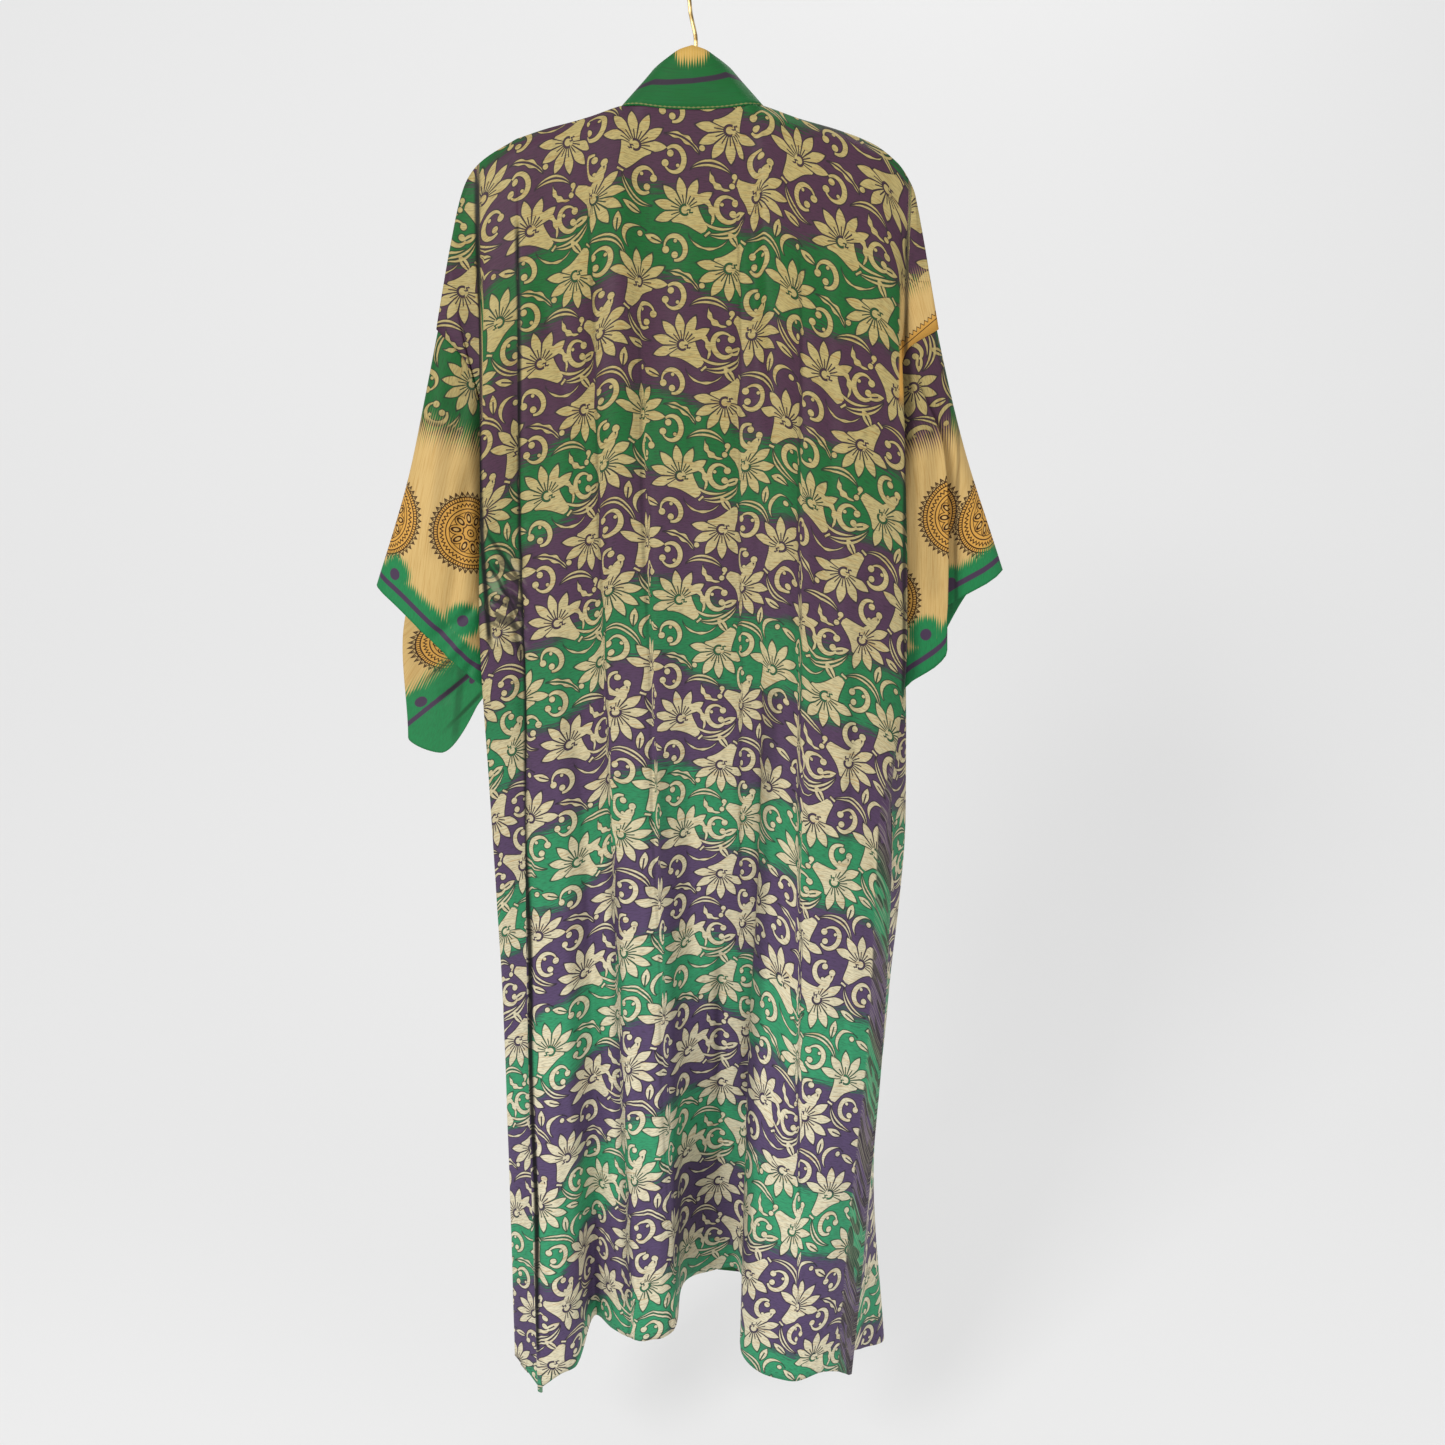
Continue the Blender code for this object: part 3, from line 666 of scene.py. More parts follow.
def curl(dye, place):
    """How far inside a curl a place is: a ring that is thick behind, with beads in its mouth."""
    x, y, far = nearest(dye, place, CURLS)
    long = y * CURL_SQUASH
    round_ = dye.maths("ARCTAN2", long, x)
    open_ = abs(round_ - CURL_MOUTH) - CURL_MOUTH_HALF
    radius = dye.vector("LENGTH", dye.join(x, long))
    behind = (1.0 - round_.math("COSINE")) * 0.5
    wide = CURL_END + CURL_SWELL * behind.math("POWER", 1.3)
    shape = (wide - abs(radius - CURL_RADIUS)).least(open_ * 9.0)
    here = dye.join(x, y)
    for bead in CURL_BEADS:
        away = dye.vector("SUBTRACT", here, (bead.x, bead.y, 0.0))
        shape = shape.most(bead.radius - dye.vector("LENGTH", away))
    return shape


def leaf(dye, place):
    """How far inside a leaf a place is, with the slit along its middle."""
    x, y, _far = nearest(dye, place, LEAVES)
    along = y / LEAF_LONG
    wide = LEAF_WIDE * (1.0 - along * along)
    slit = (0.4 - abs(x)).least(2.5 - y)
    return ((wide - abs(x)) * 0.85).least(-slit)


def horn(dye, place, row):
    """How far inside a horn a place is: an arc through three points, pointed at its ends."""
    start, middle, end = (np.array(p) for p in (row.start, row.middle, row.end))
    a, b = start - middle, end - middle
    cross = 2 * (a[0] * b[1] - a[1] * b[0])
    centre = np.array([b[1] * (a @ a) - a[1] * (b @ b), a[0] * (b @ b) - b[0] * (a @ a)]) / cross
    radius = float(np.linalg.norm(centre))
    chord = end - start
    half = 0.5 * float(np.linalg.norm(chord))
    unit_chord = chord / (2 * half)
    mid_chord = 0.5 * (start + end) - middle
    away = from_spot(dye, place, float(middle[0]), float(middle[1]))
    from_centre = dye.vector("SUBTRACT", away, (float(centre[0]), float(centre[1]), 0.0))
    off = abs(dye.vector("LENGTH", from_centre) - radius)
    scaled = unit_chord / half
    share = (dye.vector("DOT_PRODUCT", away, (float(scaled[0]), float(scaled[1]), 0.0))
             - float(mid_chord @ scaled))
    full = 0.5 * row.wide * (1.12 - share * share)
    if row.leafy:
        full = full * (1.0 + row.leafy * (share * 9.0).math("SINE"))
    inward = -centre / radius
    near = dye.vector("DOT_PRODUCT", away, (float(inward[0]), float(inward[1]), 0.0)) + radius
    shape = (full - off).least(near).least((1.0 - abs(share)) * half)
    if row.split:
        shape = shape.least(off - 0.7 + share * share * 0.5)
    return shape


def motifs(dye, place):
    """How far inside the print's motifs a place is, in millimetres."""
    shape = flower(dye, place).most(curl(dye, place)).most(leaf(dye, place))
    for row in HORNS:
        shape = shape.most(horn(dye, place, row))
    x, y, far = nearest(dye, place, BEADS)
    return shape.most(BEAD_RADIUS - far)


# Medallions: the rim and its teeth, the rings, a wavy line, the ticks between two rings, and
# round petals, each with a small pale one in it, round a heart
MEDALLION_RIM = 37.0
TEETH = 44
TOOTH_LONG = 5.0
TOOTH_ROOTS = 39.4
Ring = namedtuple("Ring", "radius strength")
RINGS = (Ring(37.0, 1.0), Ring(33.2, 1.0), Ring(25.0, 0.9), Ring(21.5, 0.6))
WAVY_LINE = 27.6
WAVE_HIGH = 3.0
TICKS_OUT = 35.1
TICK_HALF = 1.7
ROUND_PETALS = 10
PETALS_OUT = 15.5
PETAL_RADIUS = 5.6
SMALL_PETAL_RADIUS = 3.1
HEART_RADIUS = 3.6
HEART_DOT = 1.6


def medallion(dye, place, spots, field, looks):
    """The field's colour with toothed round medallions printed on it."""
    x, y, far = nearest(dye, place, [Spot(*spot, 90, 1) for spot in spots], False)
    round_ = dye.maths("ARCTAN2", x, y)
    step = math.pi / TEETH
    tooth = round_.math("PINGPONG", step) / step
    rim = MEDALLION_RIM + TOOTH_LONG * (1.0 - tooth)
    colour = dye.over(field, looks.medallion, far, MEDALLION_RIM + 0.6, MEDALLION_RIM - 0.6)
    dark = 1.1 - abs(far - rim) * 0.75
    for ring in RINGS:
        dark = dark.most((1.0 - abs(far - ring.radius) * 1.1) * ring.strength)
    dark = dark.most(1.1 - abs(far - WAVY_LINE - WAVE_HIGH * tooth) * 0.8)
    dark = dark.most((1.2 - abs(far - TOOTH_ROOTS) * 0.7).least(1.0 - tooth * 3.2))
    ticks = (round_.math("PINGPONG", step * 0.5) / (step * 0.5) - 0.5) * 2.4
    dark = dark.most(ticks.least((TICK_HALF - abs(far - TICKS_OUT)) * 2.0).least(0.9))
    cell = round_.math("PINGPONG", math.pi / ROUND_PETALS) * far
    drop = dye.vector("LENGTH", dye.join(cell * 1.45, (far - PETALS_OUT) * 0.78))
    dark = dark.most(1.2 - abs(drop - SMALL_PETAL_RADIUS) * 0.9)
    petal = dye.vector("LENGTH", dye.join(cell * 1.1, (far - PETALS_OUT + 0.5) * 0.82))
    dark = dark.most((1.0 - abs(petal - PETAL_RADIUS) * 1.1) * 0.8)
    dark = dark.most(1.0 - abs(far - HEART_RADIUS) * 1.1).most(HEART_DOT - far)
    colour = dye.over(colour, looks.field, drop, 2.4, 1.6, 0.6)
    return dye.over(colour, looks.medallion_line, dark, 0.1, 0.6)


# Materials

# Across the robe from its upright flower, where the bands slope and by how much they rise, how
# far they wander, and how much narrower the green is than the purple
Slope = namedtuple("Slope", "start end rise")
SLOPES = (Slope(-4.0, -150.0, 46.0), Slope(-150.0, -215.0, 45.0), Slope(14.0, 125.0, 40.0),
          Slope(150.0, 205.0, -18.0))
BAND_WANDER = 30.0
GREEN_LESS = 0.27


def chevrons(dye, across, down, looks):
    """Above nought in the green bands of the ground, which run across the robe in chevrons."""
    slow = dye.threads(across, down, 0.011, 0.011, 1.0)
    sway = (slow - 0.5) * BAND_WANDER
    for slope in SLOPES:
        sway = sway + dye.edge(across, slope.start, slope.end, 0.0, slope.rise)
    turns = (down - sway - looks.first_band) * (2.0 * math.pi / looks.band_repeat)
    return turns.math("COSINE") - GREEN_LESS


# Where the dyes begin to pale below the shoulders, and where they are palest
FADE_DOWN = (150.0, 1000.0)


def print_colour(dye, across, down, looks, bare, ground_wave=None):
    """Colour, motif share, streaks and grain of the print at a place on the flat cloth. bare is
    nought where the cloth carries no motifs."""
    place = dye.join(across, 0.0 - down)
    streak = dye.threads(across, down, 0.03, 0.62, 2.0, 0.7)
    fine = dye.threads(across, down, 0.16, 0.95, 2.0)
    wave = chevrons(dye, across, down, looks) if ground_wave is None else ground_wave
    green_share = dye.edge(wave + (streak - 0.5) * 1.3, -0.2, 0.2)
    lower = dye.edge(down, *FADE_DOWN)
    green = dye.pick_colour(lower, looks.green_high, looks.green_low)
    purple = dye.pick_colour(lower, looks.purple_high, looks.purple_low)
    ground = dye.pick_colour(green_share, purple, green)
    between = green_share * (1.0 - green_share) * 1.6
    ground = dye.pick_colour(between, ground, looks.outline)
    gold = dye.pick_colour(lower, looks.gold_high, looks.gold_low)
    worn = dye.pick_colour(1.0, gold, looks.slub, "MULTIPLY")
    gold = dye.over(gold, worn, streak, 0.5, 0.72, 0.6)
    inside = motifs(dye, place)
    ground = dye.over(ground, looks.outline, inside, -1.1, 0.0, 0.8)
    share = dye.edge(inside, 0.1, 0.6) * bare
    colour = dye.pick_colour(share, ground, gold)
    colour = dye.over(colour, looks.outline, fine, 0.42, 0.7, 0.34)
    return colour, share, streak, fine


def silk_finish(dye, colour, share, streak, fine):
    """Sheen, slubs and weave of the printed silk."""
    roughness = 0.58 - share * 0.08 + (streak - 0.5) * 0.25
    height = streak * 0.7 + fine * 0.5 + share * 0.25
    return dye.finish(colour, roughness, height, 0.22, 0.0005,
                      {"Specular IOR Level": 0.16})


# Darkness in the narrow folds, by where it starts and ends, its half width and its strength
Shade = namedtuple("Shade", "x_high z_high x_low z_low wide dark")
BACK_SHADES = (
    Shade(-207, -200, -212, -420, 4.6, 0.97), Shade(-212, -400, -211, -650, 4.6, 0.97),
    Shade(-168, -250, -175, -640, 4.2, 0.94), Shade(-175, -620, -181, -1450, 4.6, 0.97),
    Shade(-100, -230, -78, -1440, 2.6, 0.3), Shade(-56, -330, -31, -1440, 2.6, 0.28),
    Shade(42, -240, 46, -900, 2.2, 0.22), Shade(100, -280, 108, -1250, 2.6, 0.3),
    Shade(75, -690, 47, -1340, 12.0, 0.35), Shade(-88, -880, -79, -1400, 10.0, 0.35),
    Shade(-34, -760, -27, -1380, 10.0, 0.3), Shade(205, -250, 208, -700, 3.4, 0.75),
    Shade(-208, -535, -168, -596, 4.0, 0.7), Shade(-208, -566, -174, -632, 3.5, 0.75),
    Shade(-192, -590, -178, -670, 4.0, 0.6), Shade(20, -980, 26, -1300, 6.0, 0.3),
)
SLEEVE_SHADES = {
    "left": (
        Shade(-213, -330, -213, -650, 16.0, 0.5), Shade(-244, -400, -262, -560, 12.0, 0.16),
    ),
    "right": (
        Shade(207, -330, 209, -700, 9.0, 0.45), Shade(262, -380, 268, -620, 3.0, 0.4),
        Shade(232, -430, 240, -600, 12.0, 0.16),
    ),
}
UNDER_LAYER_SHADES = (
    Shade(-222, -600, -276, -652, 5.0, 0.6), Shade(-224, -640, -290, -694, 5.0, 0.6),
    Shade(-222, -668, -276, -716, 6.0, 0.65), Shade(-222, -700, -268, -746, 5.0, 0.6),
    Shade(-250, -640, -262, -760, 7.0, 0.35),
)

# How those lines sway, how softly they end, how much of their width is darkest, and their tint
SHADE_SWAY = 1.2
SHADE_ENDS = 12.0
SHADE_CORE = 0.2
SHADE_TINT = (0.006, 0.006, 0.006, 1.0)


def fold_shade(dye, colour, rows, side=0):
    """Darkens the colour in the deep narrow folds, where little light reaches the cloth. side
    is -1 for folds at the back only, and 1 for folds at the front only."""
    x, y, z = dye.hung_place()
    x = x + (z * 0.021).math("SINE") * SHADE_SWAY
    dark = None
    for row in rows:
        slope = (row.x_low - row.x_high) / (row.z_low - row.z_high or 1.0)
        off = abs(x - (z - row.z_high) * slope - row.x_high)
        line = dye.edge(off, row.wide, row.wide * SHADE_CORE, 0.0, row.dark)
        line = line * dye.edge(z, row.z_low - SHADE_ENDS, row.z_low + SHADE_ENDS)
        line = line * dye.edge(z, row.z_high + SHADE_ENDS, row.z_high - SHADE_ENDS)
        dark = line if dark is None else dark.most(line)
    if side:
        dark = dark * (y * side > 0.0)
    return dye.pick_colour(dark, colour, SHADE_TINT)


# Middle of the bunched cloth under the left arm
CRUMPLE_X = -190.0
CRUMPLE_Z = -606.0


def crumple(dye, colour, looks):
    """Bunched cloth under the back's left arm, where shade and worn pale ridges alternate."""
    x, y, z = dye.hung_place()
    fold = dye.threads(z + x * 0.9, x - z, 0.085, 0.022, 1.0)
    near = dye.edge(abs(x - CRUMPLE_X), 26.0, 12.0) * dye.edge(abs(z - CRUMPLE_Z), 58.0, 30.0)
    near = near * (y < 0.0)
    pale = dye.edge(fold, 0.56, 0.66, 0.0, 0.2) * near
    dark = dye.edge(fold, 0.5, 0.4, 0.0, 0.8) * near
    colour = dye.pick_colour(pale, colour, looks.gold_low)
    return dye.pick_colour(dark, colour, looks.outline)


def lines_along(place, period):
    """Fine alternate lines, from nought to one."""
    return place.math("PINGPONG", 0.5 * period) / (0.5 * period)


def creep(lines, fray, by_thread, by_patch):
    """How far dye creeps along the threads, in millimetres."""
    return (lines - 0.5) * by_thread + (fray - 0.5) * by_patch


# The body's selvage by the right slit, the hem's stitches, and where the fronts' print starts.
# Cloth with no selvage says that it is far from one.
SELVAGE = 27.0
NO_SELVAGE = 40.0
SLIT_TOP = -600.0
STITCHES_UP = 7.0
FRONT_PRINT_START = 42.0


def body_silk(looks, reverse=False):
    """The printed silk of the back and the fronts."""
    dye = Dye("printed silk reverse" if reverse else "printed silk")
    across, down = dye.cloth_place("cloth")
    side, hem = dye.cloth_place("edges")
    bare = dye.edge(side, SELVAGE - 3.0, SELVAGE)
    colour, share, streak, fine = print_colour(dye, across, down, looks, bare)
    thread = (1.0 - bare) * dye.edge(streak, 0.45, 0.65, 0.0, 0.25)
    colour = dye.pick_colour(thread, colour, looks.gold_low)
    colour = drop_shoulder(dye, colour, looks)
    stitch = (abs(hem - STITCHES_UP) < 0.5) * ((across * 0.9).math("SINE") > -0.2)
    colour = dye.pick_colour(stitch * 0.45, colour, looks.outline)
    colour = fold_shade(dye, crumple(dye, colour, looks), BACK_SHADES, -1)
    if reverse:
        colour = dye.pick_colour(0.28, colour, looks.reverse_tint)
    return silk_finish(dye, colour, share, streak, fine)


# Slanting lines on the cloth as it hangs: a point of each, and how steeply it rises
Slant = namedtuple("Slant", "x z slope")
PALE_END = Slant(203.0, -304.0, 0.55)
TOOTHED_RIM = Slant(207.0, -359.0, 0.83)


def drop_shoulder(dye, colour, looks):
    """The pale gold end of the cloth on the back's right drop shoulder, above the sleeve."""
    x, _y, z = dye.hung_place()
    lines = lines_along(x + z * 0.3, 2.3)
    fall = (x - PALE_END.x) * PALE_END.slope + PALE_END.z - z
    share = dye.edge(fall + (lines - 0.5) * 22.0, -11.0, 11.0) * (
        dye.edge(x, 196.0, 199.0) * dye.edge(z, -420.0, -400.0))
    streak = dye.threads(x + z * 0.3, z, 0.8, 0.03, 2.0, 0.7)
    field = sleeve_field(dye, streak, looks)
    above = z - TOOTHED_RIM.z - (x - TOOTHED_RIM.x) * TOOTHED_RIM.slope
    tooth = lines_along(x + z * 0.6, 5.4)
    rim = 7.5 + 4.5 * tooth
    field = dye.pick_colour(above < rim, field, looks.medallion)
    dark = (1.0 - abs(above - rim) * 0.8).most(1.0 - abs(above - 4.0) * 1.2)
    field = dye.over(field, looks.medallion_line, dark, 0.1, 0.7)
    return dye.pick_colour(share, colour, field)


def sleeve_field(dye, streak, looks):
    """Pale gold of the sleeves' lower part, with darker slubs down it."""
    return dye.over(looks.field, looks.field_slub, streak, 0.42, 0.74, 0.7)


# Where each sleeve's print begins, where it gives way to plain gold, and where the middles of
# its medallions and dots are, across the sleeve and up from its hem
SleeveLook = namedtuple("SleeveLook",
                        "way across down feather green_from medallions dots")
SLEEVE_LOOKS = {
    "left": SleeveLook(1, -54.5, 67.0, -202.0, None, (
        (27, -114), (-66, -108), (-156, -62), (-247, 6)),
        ((-46, -55), (30, -22), (-248, 83), (-293, 44), (-150, 25))),
    "right": SleeveLook(-1, 76.0, 47.5, -219.0, -38.0, (
        (-13, -140), (-91, -132), (68, -58), (-182, -120), (-270, -90)),
        ((-53, -71), (21, -23), (-130, -60), (-220, -40))),
}

# Heights above the sleeves' hem: the border and its humps round the dots, and the stripe
BORDER_HIGH = 27.0
BORDER_BUMP = 18.0
DOT_RADIUS = 5.8
STRIPE_HIGH = 12.5
STRIPE_HALF = 2.4
THREADS_APART = 2.4


def sleeve_silk(looks, which, reverse=False):
    """A sleeve's silk: the print, then plain gold with medallions, then the green border."""
    look = SLEEVE_LOOKS[which]
    dye = Dye(f"{which} sleeve silk reverse" if reverse else f"{which} sleeve silk")
    u, v = dye.cloth_place("cloth")
    _side, hem = dye.cloth_place("edges")
    across = look.across - v * look.way
    down = look.down + u * look.way
    if look.green_from is None:
        wave = (v + 300.0) * 0.05
    else:
        wave = (look.green_from - u) * 0.08
    lines = lines_along(u, THREADS_APART)
    fray = dye.threads(u, v, 0.5, 0.02, 1.0)
    past = v - look.feather + creep(lines, fray, 24.0, 18.0)
    bare = dye.edge(v - look.feather, -6.0, -12.0)
    colour, share, _streak, fine = print_colour(dye, across, down, looks, bare, wave)
    streak = dye.threads(u, v, 0.75, 0.025, 2.0, 0.7)
    field = sleeve_field(dye, streak, looks)
    place = dye.join(u, v)
    field = medallion(dye, place, look.medallions, field, looks)
    colour = dye.over(colour, field, past, -13.0, 13.0)
    _x, _y, far = nearest(dye, place, [Spot(*dot, 0, 1) for dot in look.dots], False)
    border = (BORDER_HIGH - hem).most(BORDER_BUMP - far) + creep(lines, fray, 6.0, 8.0)
    green = dye.over(looks.border, looks.outline, fine, 0.3, 0.8, 0.25)
    colour = dye.over(colour, green, border, -3.0, 3.0)
    stripe = (STRIPE_HALF - abs(hem - STRIPE_HIGH)).most(DOT_RADIUS - far)
    colour = dye.over(colour, looks.stripe, stripe, -0.5, 0.4)
    colour = fold_shade(dye, colour, SLEEVE_SHADES[which])
    if which == "left":
        colour = fold_shade(dye, colour, UNDER_LAYER_SHADES, 1)
    if reverse:
        colour = dye.pick_colour(0.015, colour, looks.reverse_tint)
    return silk_finish(dye, colour, share, streak, fine)


# Along the neckband from the middle of the neck: where its gold begins to fall and ends, and by
# how much, and where its stripe stops leaning. Then its seam's height above its sewn edge.
GOLD_ENDS = (8.0, 40.0)
GOLD_FALL = 34.0
LEAN_END = 60.0
BAND_SEAM = 1.6
BAND_THREADS_APART = 2.5


def neckband_silk(looks):
    """The neckband's green silk, with its stripe and its gold top."""
    dye = Dye("neckband silk")
    along, across = dye.cloth_place("cloth")
    streak = dye.threads(along, across, 0.03, 0.9, 2.0, 0.7)
    slow = dye.threads(along, across, 0.03, 0.06, 1.0)
    fine = dye.threads(along, across, 2.2, 2.2, 1.0)
    green = dye.over(looks.green_high, looks.band_green, slow, 0.3, 0.7)
    colour = dye.over(green, looks.outline, streak, 0.45, 0.75, 0.3)
    lean = across - along.least(LEAN_END).most(-LEAN_END) * looks.band_lean
    stripe = STRIPE_HALF - abs(lean - looks.band_stripe)
    dark = dye.pick_colour(0.6, looks.stripe, looks.outline)
    colour = dye.over(colour, dark, stripe, -0.6, 0.5)
    lines = lines_along(along, BAND_THREADS_APART)
    fray = dye.threads(along, across, 0.35, 0.02, 1.0)
    gold = lean - looks.band_gold + creep(lines, fray, 9.0, 10.0)
    gold = gold - dye.edge(abs(along), *GOLD_ENDS, 0.0, GOLD_FALL)
    yellow = dye.over(looks.gold_peak, looks.field, lines, 0.2, 0.9, 0.35)
    colour = dye.over(colour, yellow, gold, -3.0, 4.0)
    seam = (0.6 - abs(across - BAND_SEAM)) * 2.0 + (along * 1.4).math("SINE") * 0.5
    colour = dye.over(colour, looks.gold_high, seam, 0.0, 0.6, 0.45)
    return dye.finish(colour, 0.6, streak * 0.7 + fine * 0.5, 0.25, 0.0005,
                      {"Specular IOR Level": 0.16})


def wood():
    """Satin beech with its grain along the hanger's arms."""
    dye = Dye("beech")
    x, y, z = dye.hung_place(1.0)
    grain = dye.speckle(dye.join(x * 14.0, y * 260.0, z * 260.0), 1.0, 3.0, 0.6)
    fleck = dye.speckle(dye.join(x * 120.0, y * 900.0, z * 900.0), 1.0, 1.0)
    colour = dye.over(linear(188, 138, 88), linear(150, 100, 58), grain, 0.3, 0.7)
    colour = dye.over(colour, linear(112, 70, 40), fleck, 0.6, 0.75, 0.4)
    return dye.finish(colour, 0.34 + grain * 0.16, grain, 0.15, 0.0004,
                      {"Coat Weight": 0.25, "Coat Roughness": 0.2})


def brass():
    """Brass wire, a little worn and darker in patches."""
    dye = Dye("brass wire")
    place = dye.node("ShaderNodeTexCoord", out=OBJECT_PLACE)
    patch = dye.speckle(place, 90.0, 3.0, 0.6)
    colour = dye.over(linear(196, 172, 120), linear(128, 106, 66), patch, 0.42, 0.62)
    return dye.finish(colour, 0.24 + patch * 0.3, patch, 0.2, 0.0003, {"Metallic": 1.0})


# Cloth pieces

# Cloth that the narrow folds of the back hide, at some heights, and which side of the upright
# flower it pushes the print to. A fold with no place follows the flower.
Hidden = namedtuple("Hidden", "x_high x_low amounts left_side")
HIDDEN_HEIGHTS = (-250, -430, -560, -670, -860, -1060, -1300)
HIDDEN_CLOTH = (
    Hidden(-100, -78, (8, 10, 10, 13, 15, 16, 17), True),
    Hidden(None, None, (0, 6, 9, 11, 17, 19, 22), True),
    Hidden(None, None, (0, 6, 9, 12, 6, 0, 0), False),
    Hidden(42, 46, (6, 8, 9, 9, 6, 4, 0), False),
    Hidden(100, 108, (2, 14, 22, 28, 32, 24, 8), False),
)
HIDDEN_WIDE = 2.2

# How far the print lies to the right of and above even cloth, in millimetres, at some places
# across the back and some heights down it, as the photo shows its rows
Slip = namedtuple("Slip", "at across down")
SLIP_HEIGHTS = (50, 300, 545, 785, 1045, 1195)
PRINT_SLIPS = (
    Slip(-90, (-1, 3, 2, 12, 17, 15), (-1, -5, -9, -16, -31, -44)),
    Slip(-60, (3, 9, 12, 21, 25, 15), (0, -5, -5, -10, -24, -32)),
    Slip(0, (0, 4, 5, 11, 15, 7), (0, 0, 2, 2, -6, -17)),
    Slip(55, (0, 5, 9, 12, 1, -17), (0, -3, 6, 13, -2, -21)),
    Slip(130, (-6, 3, 12, 15, 0, -18), (-3, -6, 5, 12, -6, -29)),
    Slip(215, (-4, 4, 20, 25, 20, 20), (-14, -26, -33, -38, -55, -70)),
)


def let_slip(across, down):
    """Places in the print for places on the even cloth."""
    spots = [row.at for row in PRINT_SLIPS]
    right = np.stack([np.interp(down, SLIP_HEIGHTS, row.across) for row in PRINT_SLIPS])
    up = np.stack([np.interp(down, SLIP_HEIGHTS, row.down) for row in PRINT_SLIPS])
    at = np.interp(across, spots, np.arange(len(spots)))
    low = np.clip(at.astype(int), 0, len(spots) - 2)
    share = at - low
    i, j = np.indices(across.shape)
    return (across + right[low, i, j] * (1 - share) + right[low + 1, i, j] * share,
            down + up[low, i, j] * (1 - share) + up[low + 1, i, j] * share)


def level(grid, down, lines, inner):
    """Runs the print level from an inner line of a panel out to the lines at its seam."""
    z = grid[:, :, 2]
    order = np.argsort(z[inner])
    lift = (down[inner] + z[inner])[order]
    for line in lines:
        down[line] = np.interp(z[line], z[inner][order], lift) - z[line]
    return down


# Beyond these edges, above the arm, the back's print is laid as it is seen from behind
DropShoulder = namedtuple("DropShoulder", "side edge start")
DROP_SHOULDERS = (DropShoulder(-1, 206.5, -72.0), DropShoulder(1, 205.0, -49.0))
DROP_END = -430.0


def lay_print(grid, anchor):
    """Places in the print for the points of the back, measured from its upright flower."""
    across = across_the_cloth(grid)
    down = down_the_cloth(grid)
    low, high = anchor
    start = np.zeros(grid.shape[1])
    for row in range(grid.shape[1]):
        stretch = grid[low:high + 1, row]
        start[row] = np.interp(column_x(stretch[:, 2].mean()), stretch[:, 0],
                               across[low:high + 1, row])
    across = across - start
    heights = np.array(HIDDEN_HEIGHTS[::-1], float)
    for crease in HIDDEN_CLOTH:
        z = grid[:, :, 2]
        if crease.x_high is None:
            middle = column_x(z)
        else:
            share = (HIDDEN_HEIGHTS[0] - z) / (HIDDEN_HEIGHTS[0] - HIDDEN_HEIGHTS[-1])
            middle = crease.x_high + (crease.x_low - crease.x_high) * share
        amount = np.interp(z, heights, np.array(crease.amounts[::-1], float))
        step = ease((grid[:, :, 0] - middle) / HIDDEN_WIDE * 0.5 + 0.5)
        across += -amount * (1 - step) if crease.left_side else amount * step
    neck = np.maximum(NECK_TOP - grid[:, :1, 2], 0)
    neck[(grid[:, 0, 0] <= NECK_LEFT) | (grid[:, 0, 0] >= NECK_RIGHT)] = 0
    line = int(0.5 * (low + high))
    down = down + neck
    down -= np.interp(-FLOWER_COLUMN.first_z, -grid[line, :, 2], down[line])
    down = level(grid, down, range(PER_FOLD), PER_FOLD)
    down = level(grid, down, range(-PER_FOLD, 0), -PER_FOLD - 1)
    across, down = let_slip(across, down)
    x, z = grid[:, :, 0], grid[:, :, 2]
    for end in DROP_SHOULDERS:
        past = np.clip((x * end.side - end.edge) / 2.0, 0, 1)
        past = past * np.clip((z - DROP_END) / 30, 0, 1)
        across = across * (1 - past) + x * past
        down = down * (1 - past) + (end.start - z) * past
    return across, down


# The line round each sleeve that its print is measured from, then how many lines the slant of
# the hem is evened over, and its least value
MEASURED_FROM = {"left": 80, "right": 98}
LEAN_SPREAD = 9
LEAST_LEAN = 0.3


def lay_sleeve(grid, line):
    """Places across and down a sleeve's flat cloth, nought at the hem of one of its lines, and
    how far each point is from the hem."""
    along = unit(np.gradient(grid, axis=1))
    middle = unit(along[:-1] + along[1:])
    step = np.diff(grid, axis=0)
    slip = np.sum(step * middle, axis=2)
    wide = np.linalg.norm(step - middle * slip[:, :, None], axis=2)
    first = np.zeros((1, grid.shape[1]))
    across = np.concatenate([first, np.cumsum(wide, axis=0)])
    slip = np.concatenate([first, np.cumsum(slip, axis=0)])
    hem = from_hem(down_the_cloth(grid))
    lean = wide[:, -1] / np.linalg.norm(step[:, -1], axis=1)
    around = LEAN_SPREAD // 2
    lean = np.concatenate([lean[-around:], lean, lean[:around + 1]])
    lean = np.convolve(np.clip(lean, LEAST_LEAN, 1.0), np.ones(LEAN_SPREAD) / LEAN_SPREAD, "valid")
    return (across - across[line], slip - slip[line] - hem[line], hem * lean[:, None])


# The left sleeve's under layer: its middle and half width round the sleeve, with how soft its
# ends are, then the line of its stripe, how much longer that is than it is wide, and how the
# print is squeezed from a little above it
UNDER_MIDDLE = -255
UNDER_HALF = 85
UNDER_SOFT = 50
UNDER_STRIPE = Slant(-296, -731, 0.78)
UNDER_STRETCH = 1.27
SQUEEZE_FROM = 5
SQUEEZE = 0.45


